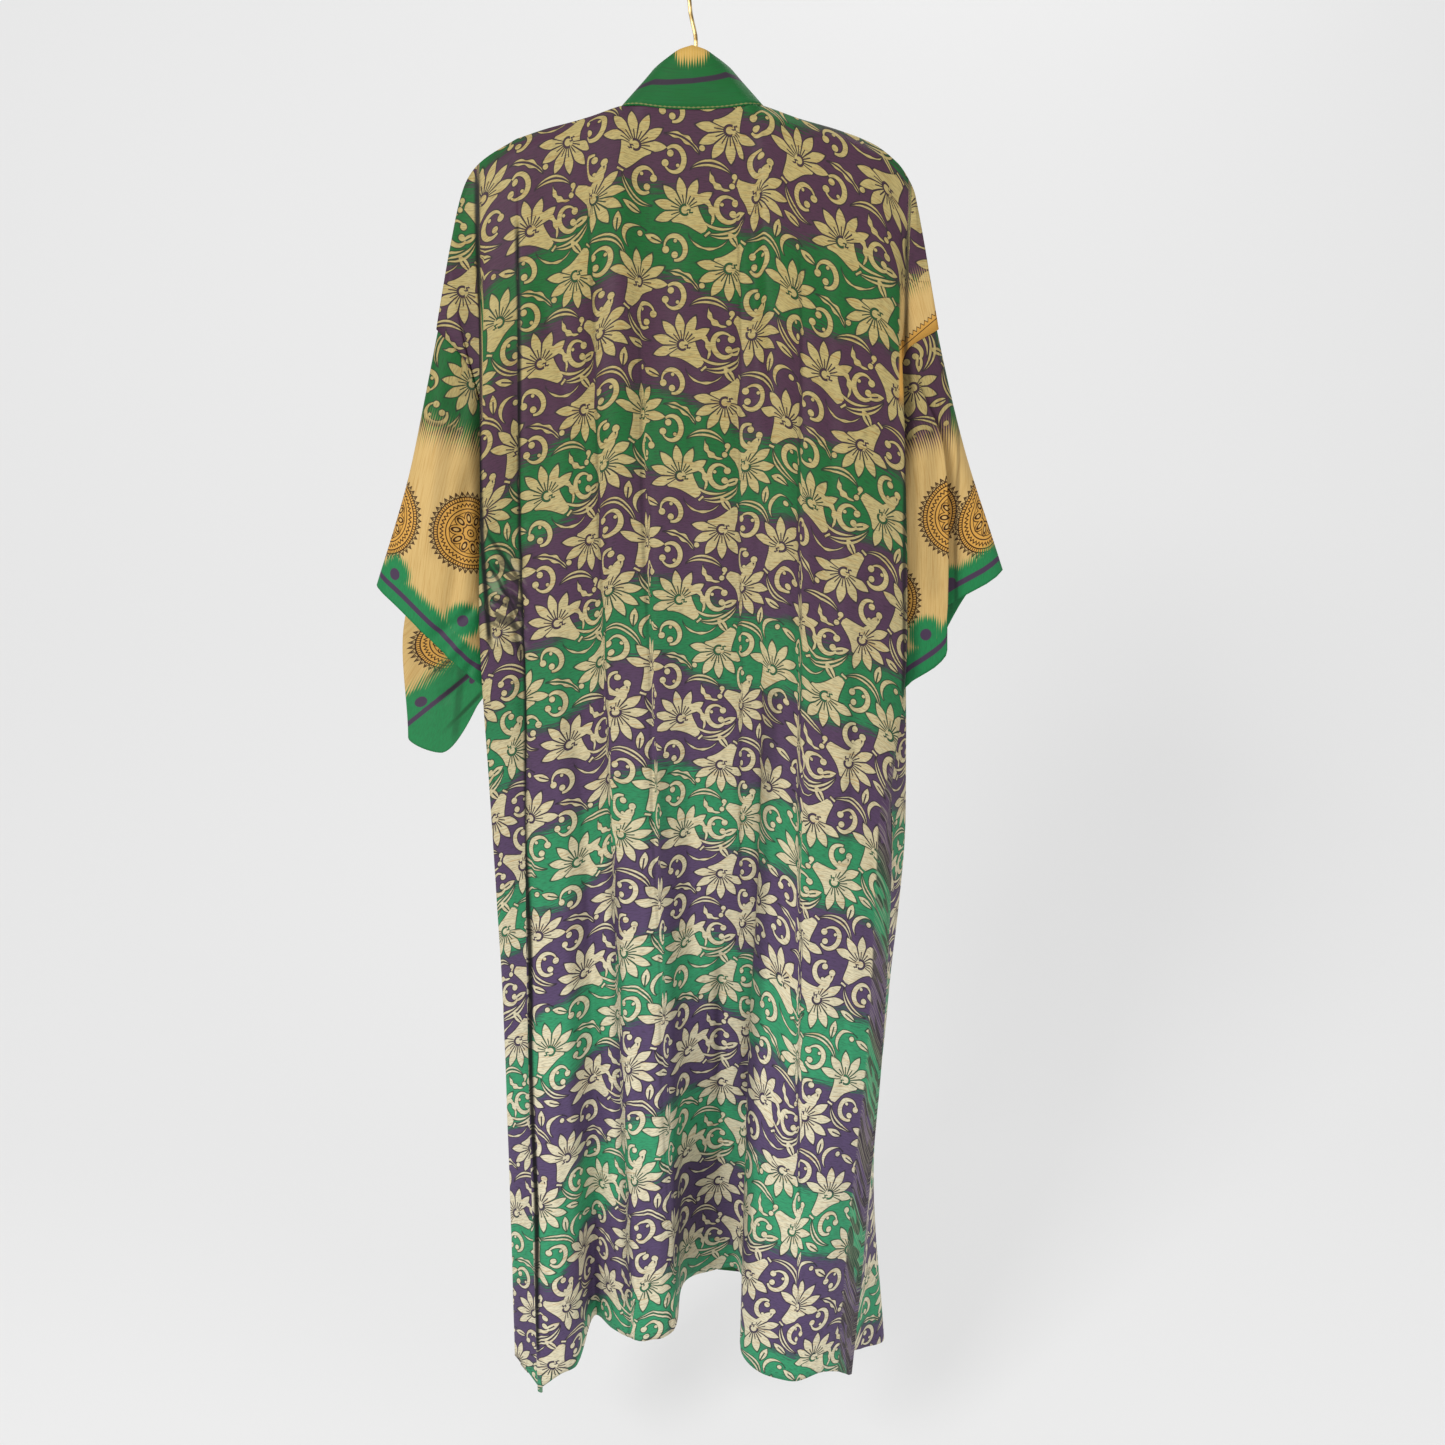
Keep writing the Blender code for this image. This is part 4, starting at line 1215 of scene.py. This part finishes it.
def lay_low_border(grid, across, hem):
    """The border's height on the left sleeve's under layer, where it runs straight."""
    under = ease((UNDER_HALF - abs(across - UNDER_MIDDLE)) / UNDER_SOFT)
    line = UNDER_STRIPE
    above = grid[:, :, 2] - line.z - (grid[:, :, 0] - line.x) * line.slope
    above = above / UNDER_STRETCH
    past = np.maximum(above - SQUEEZE_FROM, 0)
    straight = np.maximum(STRIPE_HIGH + above - past * (1 - SQUEEZE), 0.5)
    return hem * (1 - under) + straight * under


def from_hem(down):
    """Distance of each point from the end of its line."""
    return down[:, -1:] - down


def sew(name, grid, cloth, edges, wall, outward, materials, closed=False):
    """A thin shell on a grid of points: lines across, points down each line. cloth and edges
    are pairs of (across, down) in millimetres for its two UV maps."""
    lines, rows = grid.shape[:2]
    if closed:
        grid = grid[:-1]
    mesh = bpy.data.meshes.new(name)
    work = bmesh.new()
    cloth_map = work.loops.layers.uv.new("cloth")
    edge_map = work.loops.layers.uv.new("edges")
    points = [[work.verts.new(grid[i, j] * MM) for j in range(rows)] for i in range(len(grid))]
    for i in range(lines - 1):
        for j in range(rows - 1):
            corners = [(i, j), (i, j + 1), (i + 1, j + 1), (i + 1, j)]
            if outward < 0:
                corners.reverse()
            face = work.faces.new([points[a % len(grid)][b] for a, b in corners])
            face.smooth = True
            for loop, (a, b) in zip(face.loops, corners):
                loop[cloth_map].uv = (cloth[0][a, b] * MM, cloth[1][a, b] * MM)
                loop[edge_map].uv = (edges[0][a, b] * MM, edges[1][a, b] * MM)
    work.to_mesh(mesh)
    work.free()
    piece = bpy.data.objects.new(name, mesh)
    bpy.context.scene.collection.objects.link(piece)
    for material in materials:
        piece.data.materials.append(material)
    shell = piece.modifiers.new("Cloth wall", "SOLIDIFY")
    shell.thickness = wall * MM
    shell.offset = 0.0
    shell.use_even_offset = False
    shell.material_offset = 1 if len(materials) > 1 else 0
    shell.material_offset_rim = 0
    bpy.ops.object.select_all(action="DESELECT")
    bpy.context.view_layer.objects.active = piece
    piece.select_set(True)
    bpy.ops.object.modifier_apply(modifier=shell.name)
    piece.select_set(False)
    return piece


def hang(piece, node):
    """Parents a piece to the root body, and hides the solid that it stands for."""
    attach(piece, "root")
    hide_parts(node)


# Soft upright folds and short slanting ones, finer than the solids' own, by where they start and
# end, their half width and their depth
Crease = namedtuple("Crease", "x_high z_high x_low z_low wide deep")
BACK_CREASES = (
    Crease(-100, -230, -78, -1440, 4.5, 4.0), Crease(-55, -330, -31, -1440, 4.5, 4.0),
    Crease(42, -240, 46, -900, 5.0, 3.0), Crease(100, -280, 108, -1250, 5.0, 4.0),
    Crease(-140, -560, -132, -1300, 7.0, -4.0), Crease(10, -300, 14, -700, 10.0, -3.0),
    Crease(140, -330, 150, -900, 8.0, -4.0), Crease(-10, -620, -4, -1000, 6.0, 3.5),
    Crease(-171, -330, -178, -1440, 2.8, 7.0), Crease(72, -420, 80, -1180, 9.0, 3.5),
    Crease(-120, -700, -112, -1180, 5.0, 4.0), Crease(-66, -880, -52, -1440, 6.0, 4.5),
    Crease(20, -980, 26, -1300, 6.0, 5.0), Crease(160, -640, 152, -1200, 6.0, 4.0),
    Crease(-84, -250, -118, -520, 8.0, 2.5), Crease(118, -250, 142, -560, 8.0, 2.5),
    Crease(-150, -300, -120, -430, 7.0, 2.5),
)
Wrinkle = namedtuple("Wrinkle", "x_from z_from x_to z_to wide deep")
BACK_WRINKLES = (
    Wrinkle(-212, -520, -160, -575, 4.5, 7.0), Wrinkle(-210, -548, -168, -598, 4.0, -5.0),
    Wrinkle(-206, -572, -176, -628, 4.0, 7.0), Wrinkle(-196, -600, -166, -650, 3.5, -4.5),
    Wrinkle(-186, -500, -150, -540, 6.0, 3.5), Wrinkle(204, -556, 160, -600, 6.0, 4.5),
    Wrinkle(200, -590, 150, -640, 5.0, -3.5), Wrinkle(66, -798, 190, -806, 2.4, 2.2),
    Wrinkle(66, -803, 190, -811, 2.4, -1.6), Wrinkle(-190, -1118, -176, -1128, 2.5, 1.6),
    Wrinkle(-40, -520, 30, -540, 9.0, 1.5), Wrinkle(30, -420, 110, -470, 10.0, 1.6),
    Wrinkle(-130, -420, -70, -470, 9.0, 1.5),
)
SLEEVE_WRINKLES = {
    "left": (
        Wrinkle(-214, -300, -244, -480, 9.0, 3.0), Wrinkle(-232, -350, -285, -560, 9.0, 2.5),
        Wrinkle(-222, -470, -262, -650, 7.0, 3.5), Wrinkle(-246, -420, -300, -600, 8.0, -2.0),
        Wrinkle(-275, -650, -222, -606, 4.5, 4.0), Wrinkle(-285, -694, -226, -640, 4.5, -4.0),
        Wrinkle(-280, -724, -224, -668, 4.5, 4.5), Wrinkle(-262, -744, -222, -700, 4.0, -3.5),
        Wrinkle(-300, -655, -292, -740, 6.0, 2.5),
    ),
    "right": (
        Wrinkle(224, -395, 266, -590, 6.0, 3.0), Wrinkle(236, -330, 290, -490, 8.0, 2.5),
        Wrinkle(214, -470, 234, -640, 6.0, 3.0), Wrinkle(216, -560, 244, -690, 6.0, -3.0),
        Wrinkle(258, -440, 280, -560, 6.0, -2.0),
    ),
}
FRONT_CREASES = (
    Crease(-120, -240, -104, -1440, 5.0, 6.0), Crease(-76, -330, -66, -1300, 4.5, 4.5),
    Crease(-150, -420, -158, -1200, 7.0, -3.5), Crease(-96, -640, -90, -1100, 6.0, 3.0),
    Crease(-45, -420, -42, -900, 7.0, -2.5),
)


def press_creases(grid, creases, side, mirror=1):
    """Soft upright troughs, or ridges where the depth is negative, let into a panel."""
    for crease in creases:
        z = grid[:, :, 2]
        share = (crease.z_high - z) / (crease.z_high - crease.z_low)
        middle = crease.x_high + (crease.x_low - crease.x_high) * share
        middle = (middle + 2.0 * np.sin(z / 90.0 + crease.x_high)) * mirror
        ends = np.clip(share * 6, 0, 1) * np.clip((1.04 - share) * 8, 0, 1)
        dip = crease.deep * np.exp(-((grid[:, :, 0] - middle) / crease.wide) ** 2) * ends
        grid[:, :, 1] -= side * dip
    return grid


def press_wrinkles(grid, wrinkles, side):
    """Short slanting folds, such as gather under an arm."""
    x, z = grid[:, :, 0], grid[:, :, 2]
    for row in wrinkles:
        way = np.array([row.x_to - row.x_from, row.z_to - row.z_from], float)
        long = np.linalg.norm(way)
        way /= long
        along = ((x - row.x_from) * way[0] + (z - row.z_from) * way[1]) / long
        off = (x - row.x_from) * way[1] - (z - row.z_from) * way[0]
        off = off + 2.5 * np.sin(along * 5.0 + row.x_from)
        ends = np.clip(along * 5, 0, 1) * np.clip((1 - along) * 5, 0, 1)
        grid[:, :, 1] -= side * row.deep * np.exp(-(off / row.wide) ** 2) * ends
    return grid


def uneven(grid, side, high=0.8):
    """Small soft unevenness, as hanging silk has between its folds, from below the shoulders."""
    x, z = grid[:, :, 0], grid[:, :, 2]
    wave = (np.sin(x / 13.0 + z / 47.0) * np.sin(z / 31.0 - x / 39.0)
            + 0.7 * np.sin(x / 7.5 - z / 71.0 + 1.3) + 0.5 * np.sin(z / 19.0 + x / 23.0))
    grid[:, :, 1] -= side * high * wave * np.clip((-215 - z) / 60, 0, 1)
    return grid


def back_grid():
    """Lines down the back from the left seam to the right one."""
    shares = row_shares()
    lines = [seam_line(LEFT_SEAM, "back", shares)]
    lines += [fold_line(fold, -1, shares) for fold in BACK_FOLDS]
    lines.append(seam_line(RIGHT_SEAM, "back", shares))
    return pull_in(curve_through(lines, PER_FOLD), SEAM_SETBACK)


def band_edges(table, by, at):
    """Sewn and free edges of the band through its sections, at places of one of their columns."""
    return [np.stack([smooth(table[:, by], table[:, k], at) for k in columns], axis=1)
            for columns in ((0, 1, 2), (3, 4, 5))]


def band_lines_down_front(shares):
    """Edges of the band's left half, from the neck point down to the hem."""
    table = np.array(BAND_DOWN_FRONT, float)
    return band_edges(table, 2, table[-1, 2] + (table[0, 2] - table[-1, 2]) * shares)


def mirrored(points):
    """Points of the band's left half carried over to its right half."""
    return points * np.array([-1.0, 1.0, 1.0]) + np.array([2 * NECK_CENTRE, 0.0, 0.0])


def front_grid(seam, side_folds, mirror):
    """Lines down a front from its side seam to the neckband."""
    shares = row_shares()
    band_edge = band_lines_down_front(shares)[0]
    lines = [seam_line(seam, "front", shares)]
    lines += [fold_line(fold, 1, shares) for fold in side_folds]
    lines += [fold_line(fold, 1, shares, mirror) for fold in FRONT_FOLDS]
    lines.append(mirrored(band_edge) if mirror > 0 else band_edge)
    grid = curve_through(lines, 2 * PER_FOLD)
    grid = pull_in(grid, SEAM_SETBACK, last=False)
    return pull_in(grid, BAND_SETBACK, first=False)


def armhole(seam):
    """Points round an armhole with their shares of its length, from the shoulder point down
    the back and up the front."""
    edges = [seam_line(seam, part, row_shares()) for part in ("back", "front")]
    back, front = (edge[edge[:, 2] >= UNDERARM] for edge in edges)
    ring = np.concatenate([back, front[::-1]])
    along = np.cumsum(np.linalg.norm(np.diff(ring, axis=0, prepend=ring[:1]), axis=1))
    return ring, along / along[-1]


def sleeve_grid(seam, folds):
    """Lines round the tube from the underarm back to it, points down to the hem."""
    ring, ring_shares = armhole(seam)
    outward = np.sign(ring[0, 0])
    fold_shares = [fold.share for fold in folds]
    underarm = 0.5 * (fold_shares[4] + fold_shares[5])
    shares = (np.linspace(0, 1, SLEEVE_LINES + 1) + underarm) % 1.0
    setback = np.array(SLEEVE_SETBACK) * (outward, 1, -1)
    start = np.stack([np.interp(shares, ring_shares, ring[:, k]) for k in range(3)], axis=1)
    wrapped = fold_shares + [1.0]
    middle, hem = (
        np.stack([smooth(wrapped, [place[k] for place in places + places[:1]], shares)
                  for k in range(3)], axis=1)
        for places in ([fold.middle for fold in folds], [fold.hem for fold in folds]))
    return curve_through([start + setback, middle, hem], SLEEVE_ROWS // 2).swapaxes(0, 1)


def band_grid():
    """Lines along the neckband from its sewn edge to its free one."""
    down = band_lines_down_front(row_shares())
    table = np.array(BAND_ROUND_NECK, float)
    x = np.linspace(NECK_LEFT, NECK_CENTRE, NECK_STEPS + 1)[1:]
    round_neck = band_edges(table, 0, x)
    left = [np.concatenate([front[::-1], neck]) for front, neck in zip(down, round_neck)]
    sewn, free = (np.concatenate([half, mirrored(half[-2::-1])]) for half in left)
    shares = np.linspace(0, 1, BAND_LINES)[:, None, None]
    return sewn * (1 - shares) + free * shares


# What a user would change

class SilkLooks(bpy.types.PropertyGroup):
    """Colours of the printed silk and the height of its bands."""
    band_repeat: bpy.props.FloatProperty(
        name="Band repeat", description="Height of a green and a purple band together, mm",
        default=185.0)
    first_band: bpy.props.FloatProperty(
        name="First band", description="Middle of a green band below the upright flower, mm",
        default=77.0)
    band_stripe: bpy.props.FloatProperty(
        name="Collar stripe", description="Height of the neckband's stripe above its seam, mm",
        default=25.5)
    band_gold: bpy.props.FloatProperty(
        name="Collar gold", description="Where the neckband turns gold above its seam, mm",
        default=42.0)
    band_lean: bpy.props.FloatProperty(
        name="Collar lean", description="Slope of the neckband's stripe", default=0.09)
    green_high: bpy.props.FloatVectorProperty(
        name="Green above", description="Green of the ground near the shoulders",
        size=4, subtype="COLOR", default=linear(24, 92, 42))
    green_low: bpy.props.FloatVectorProperty(
        name="Green below", description="Green of the ground near the hem",
        size=4, subtype="COLOR", default=linear(56, 150, 106))
    purple_high: bpy.props.FloatVectorProperty(
        name="Purple above", description="Purple of the ground near the shoulders",
        size=4, subtype="COLOR", default=linear(72, 45, 62))
    purple_low: bpy.props.FloatVectorProperty(
        name="Purple below", description="Purple of the ground near the hem",
        size=4, subtype="COLOR", default=linear(88, 72, 106))
    gold_high: bpy.props.FloatVectorProperty(
        name="Gold above", description="Colour of the motifs near the shoulders",
        size=4, subtype="COLOR", default=linear(170, 154, 100))
    gold_low: bpy.props.FloatVectorProperty(
        name="Gold below", description="Colour of the motifs near the hem",
        size=4, subtype="COLOR", default=linear(222, 214, 184))
    slub: bpy.props.FloatVectorProperty(
        name="Slub", description="Tint of the slubs that run across the cloth",
        size=4, subtype="COLOR", default=linear(215, 170, 110))
    outline: bpy.props.FloatVectorProperty(
        name="Outline", description="Dark edge round the motifs",
        size=4, subtype="COLOR", default=linear(38, 34, 34))
    reverse_tint: bpy.props.FloatVectorProperty(
        name="Reverse", description="Pale tint of the cloth's reverse side",
        size=4, subtype="COLOR", default=linear(170, 175, 150))
    medallion: bpy.props.FloatVectorProperty(
        name="Medallion", description="Ground of the sleeves' medallions",
        size=4, subtype="COLOR", default=linear(198, 148, 68))
    medallion_line: bpy.props.FloatVectorProperty(
        name="Medallion lines", description="Dark brown lines of the medallions",
        size=4, subtype="COLOR", default=linear(50, 26, 10))
    border: bpy.props.FloatVectorProperty(
        name="Border", description="Green of the sleeves' hems",
        size=4, subtype="COLOR", default=linear(30, 122, 70))
    stripe: bpy.props.FloatVectorProperty(
        name="Stripe", description="Stripe and dots on the sleeves' hems",
        size=4, subtype="COLOR", default=linear(66, 50, 72))
    band_green: bpy.props.FloatVectorProperty(
        name="Neckband", description="Green of the neckband",
        size=4, subtype="COLOR", default=linear(25, 94, 46))
    gold_peak: bpy.props.FloatVectorProperty(
        name="Neckband gold", description="Gold at the top of the neckband",
        size=4, subtype="COLOR", default=linear(190, 152, 76))
    field_slub: bpy.props.FloatVectorProperty(
        name="Sleeve slub", description="Darker slubs down the sleeves",
        size=4, subtype="COLOR", default=linear(172, 134, 74))
    field: bpy.props.FloatVectorProperty(
        name="Sleeve field", description="Pale gold of the sleeves' lower part",
        size=4, subtype="COLOR", default=linear(196, 165, 106))


class StageSizes(bpy.types.PropertyGroup):
    """Where the camera stands, and the floor."""
    camera_place: bpy.props.FloatVectorProperty(
        name="Camera", description="Where the camera stands", size=3, subtype="XYZ",
        unit="LENGTH", default=(0.0264, -1.235, -0.4801))
    camera_pitch: bpy.props.FloatProperty(
        name="Pitch", description="How far the camera looks down", subtype="ANGLE",
        default=math.radians(11.7))
    camera_lens: bpy.props.FloatProperty(
        name="Lens", description="Focal length on a 36 mm sensor", default=29.896)
    floor_height: bpy.props.FloatProperty(
        name="Floor", description="Height of the floor under the hem", unit="LENGTH",
        default=-1.72)


# Operators

_silks = {}


def silk(kind):
    """A silk of the robe, made once."""
    if kind not in _silks:
        looks = bpy.context.scene.robe_silk
        if kind == "neckband":
            _silks[kind] = neckband_silk(looks)
        else:
            which, reverse = kind.split()[0], "reverse" in kind
            _silks[kind] = (body_silk(looks, reverse) if which == "body"
                            else sleeve_silk(looks, which, reverse))
    return _silks[kind]


class ROBE_OT_back(bpy.types.Operator):
    """Sew the back panel"""
    bl_idname = "robe.sew_back"
    bl_label = "Back"

    def execute(self, context):
        grid = back_grid()
        names = ["left seam"] + [fold.name for fold in BACK_FOLDS]
        anchor = (names.index("second lobe side") * PER_FOLD,
                  names.index("second lobe end") * PER_FOLD)
        across, down = lay_print(grid, anchor)
        side = across_the_cloth(grid)
        selvage = np.where(grid[:, :, 2] < SLIT_TOP, side[-1:] - side, NO_SELVAGE)
        hem = from_hem(down_the_cloth(grid))
        grid = press_creases(grid, BACK_CREASES, -1)
        grid = uneven(press_wrinkles(grid, BACK_WRINKLES, -1), -1)
        piece = sew("back_of_robe", grid, (across, down), (selvage, hem), SILK, 1,
                    [silk("body"), silk("body reverse")])
        hang(piece, "back_panel")
        return {"FINISHED"}


class ROBE_OT_fronts(bpy.types.Operator):
    """Sew the two fronts"""
    bl_idname = "robe.sew_fronts"
    bl_label = "Fronts"

    def execute(self, context):
        for name, node, seam, folds, mirror in (
                ("left_front_of_robe", "front_left", LEFT_SEAM, FRONT_SIDE_LEFT, -1),
                ("right_front_of_robe", "front_right", RIGHT_SEAM, FRONT_SIDE_RIGHT, 1)):
            grid = front_grid(seam, folds, mirror)
            across, down = across_the_cloth(grid), down_the_cloth(grid)
            hem = from_hem(down)
            down = level(grid, down, range(2 * PER_FOLD), 2 * PER_FOLD)
            grid = uneven(press_creases(grid, FRONT_CREASES, 1, -mirror), 1)
            piece = sew(name, grid, (across * mirror, down - FRONT_PRINT_START),
                        (np.full_like(across, NO_SELVAGE), hem), SILK, mirror,
                        [silk("body"), silk("body reverse")])
            hang(piece, node)
        return {"FINISHED"}


class ROBE_OT_sleeves(bpy.types.Operator):
    """Sew the two sleeves"""
    bl_idname = "robe.sew_sleeves"
    bl_label = "Sleeves"

    def execute(self, context):
        for which, seam, folds, outward in (
                ("left", LEFT_SEAM, LEFT_SLEEVE, 1),
                ("right", RIGHT_SEAM, RIGHT_SLEEVE, -1)):
            grid = sleeve_grid(seam, folds)
            across, down, hem = lay_sleeve(grid, MEASURED_FROM[which])
            if which == "left":
                hem = lay_low_border(grid, across, hem)
            grid = uneven(press_wrinkles(grid, SLEEVE_WRINKLES[which], -1), -1, 0.7)
            piece = sew(f"{which}_sleeve_of_robe", grid, (across, down),
                        (np.full_like(hem, NO_SELVAGE), hem), SILK, outward,
                        [silk(which), silk(f"{which} reverse")], closed=True)
            hang(piece, f"sleeve_{which}")
        return {"FINISHED"}


class ROBE_OT_neckband(bpy.types.Operator):
    """Sew the neckband"""
    bl_idname = "robe.sew_neckband"
    bl_label = "Neckband"

    def execute(self, context):
        grid = band_grid()
        across, along = across_the_cloth(grid), down_the_cloth(grid)
        along = along - 0.5 * along[:, -1:]
        piece = sew("neckband_of_robe", grid, (along, across), (along, across), BAND_SILK, 1,
                    [silk("neckband")])
        hang(piece, "neckband")
        return {"FINISHED"}


class ROBE_OT_hanger(bpy.types.Operator):
    """Give the hanger its beech and its brass"""
    bl_idname = "robe.finish_hanger"
    bl_label = "Hanger"

    def execute(self, context):
        for node, look in (("hanger_arms", wood()), ("hanger_hook", brass())):
            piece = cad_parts[node]
            for slot in piece.material_slots:
                slot.material = look
        return {"FINISHED"}


def pale_material(name, colour, roughness, glow):
    """A plain matt material that glows a little."""
    material = bpy.data.materials.new(name)
    material.use_nodes = True
    shader = material.node_tree.nodes["Principled BSDF"]
    shader.inputs["Base Color"].default_value = colour
    shader.inputs["Roughness"].default_value = roughness
    shader.inputs["Emission Color"].default_value = (1.0, 1.0, 1.0, 1.0)
    shader.inputs["Emission Strength"].default_value = glow
    return material


Lamp = namedtuple("Lamp", "name place aim power size")
LAMPS = (
    Lamp("soft light above left", (-1.6, -2.4, 0.9), (0.0, 0.0, -0.75), 74.0, 0.9),
    Lamp("soft light right", (2.2, -1.9, 0.1), (0.0, 0.0, -0.8), 20.0, 1.6),
    Lamp("soft light behind", (0.6, 1.2, 1.6), (0.0, 0.0, -0.8), 18.0, 1.4),
)
ROOM_LIGHT = 0.5
FLOOR_TONE = (0.34, 0.34, 0.34, 1)
FLOOR_GLOW = 0.462
FLOOR_BEND = 0.9


class ROBE_OT_stage(bpy.types.Operator):
    """Set up the floor, the light and the camera"""
    bl_idname = "robe.set_stage"
    bl_label = "Stage"

    def execute(self, context):
        sizes = context.scene.robe_stage
        bpy.ops.object.select_all(action="DESELECT")
        bpy.ops.mesh.primitive_plane_add(size=1.0, location=(0, 0, 0))
        floor = context.object
        floor.name = "floor"
        back, front, side, top = 1.7, -4.5, 4.5, 2.6
        corners = [(-side, front), (side, front), (-side, back), (side, back)]
        for vertex, (x, y) in zip(floor.data.vertices, corners):
            vertex.co = (x, y, sizes.floor_height)
        bpy.ops.object.mode_set(mode="EDIT")
        work = bmesh.from_edit_mesh(floor.data)
        bpy.ops.mesh.select_all(action="DESELECT")
        bpy.ops.mesh.select_mode(type="EDGE")
        for edge in work.edges:
            edge.select = all(vert.co.y > back - 0.01 for vert in edge.verts)
        bmesh.update_edit_mesh(floor.data)
        bpy.ops.mesh.extrude_edges_move(
            TRANSFORM_OT_translate={"value": (0, 0, top - sizes.floor_height)})
        bpy.ops.object.mode_set(mode="OBJECT")
        curve = floor.modifiers.new("Sweep up", "BEVEL")
        curve.width = FLOOR_BEND
        curve.segments = 16
        curve.limit_method = "ANGLE"
        bpy.ops.object.modifier_apply(modifier=curve.name)
        bpy.ops.object.shade_smooth()
        floor.data.materials.clear()
        floor.data.materials.append(pale_material("pale floor", FLOOR_TONE, 0.9, FLOOR_GLOW))
        floor.select_set(False)

        world = bpy.data.worlds.new("soft room")
        world.use_nodes = True
        room = world.node_tree.nodes["Background"]
        room.inputs["Color"].default_value = (1.0, 1.0, 1.0, 1.0)
        room.inputs["Strength"].default_value = ROOM_LIGHT
        context.scene.world = world
        for lamp in LAMPS:
            light = bpy.data.lights.new(lamp.name, "AREA")
            light.energy = lamp.power
            light.size = lamp.size
            holder = bpy.data.objects.new(lamp.name, light)
            holder.location = lamp.place
            way = Vector(lamp.aim) - Vector(lamp.place)
            holder.rotation_euler = way.to_track_quat("-Z", "Y").to_euler()
            context.scene.collection.objects.link(holder)

        camera = bpy.data.cameras.new("camera")
        camera.lens = sizes.camera_lens
        camera.sensor_width = 36.0
        holder = bpy.data.objects.new("camera", camera)
        holder.location = sizes.camera_place
        holder.rotation_euler = (math.radians(90) - sizes.camera_pitch, 0.0, 0.0)
        context.scene.collection.objects.link(holder)
        context.scene.camera = holder
        context.scene.view_settings.view_transform = "Standard"
        return {"FINISHED"}


class ROBE_PT_panel(bpy.types.Panel):
    """The robe's steps"""
    bl_idname = "ROBE_PT_panel"
    bl_label = "Kimono"
    bl_space_type = "VIEW_3D"
    bl_region_type = "UI"
    bl_category = "Kimono"

    def draw(self, context):
        for step in STEPS:
            self.layout.operator(step.bl_idname)


STEPS = (ROBE_OT_back, ROBE_OT_fronts, ROBE_OT_sleeves, ROBE_OT_neckband, ROBE_OT_hanger,
         ROBE_OT_stage)
CLASSES = (SilkLooks, StageSizes, *STEPS, ROBE_PT_panel)


def register():
    for part in CLASSES:
        bpy.utils.register_class(part)
    bpy.types.Scene.robe_silk = bpy.props.PointerProperty(type=SilkLooks)
    bpy.types.Scene.robe_stage = bpy.props.PointerProperty(type=StageSizes)


def unregister():
    del bpy.types.Scene.robe_silk
    del bpy.types.Scene.robe_stage
    for part in reversed(CLASSES):
        bpy.utils.unregister_class(part)


def main():
    register()
    bpy.ops.robe.sew_back()
    bpy.ops.robe.sew_fronts()
    bpy.ops.robe.sew_sleeves()
    bpy.ops.robe.sew_neckband()
    bpy.ops.robe.finish_hanger()
    bpy.ops.robe.set_stage()


if __name__ == "__main__":
    main()
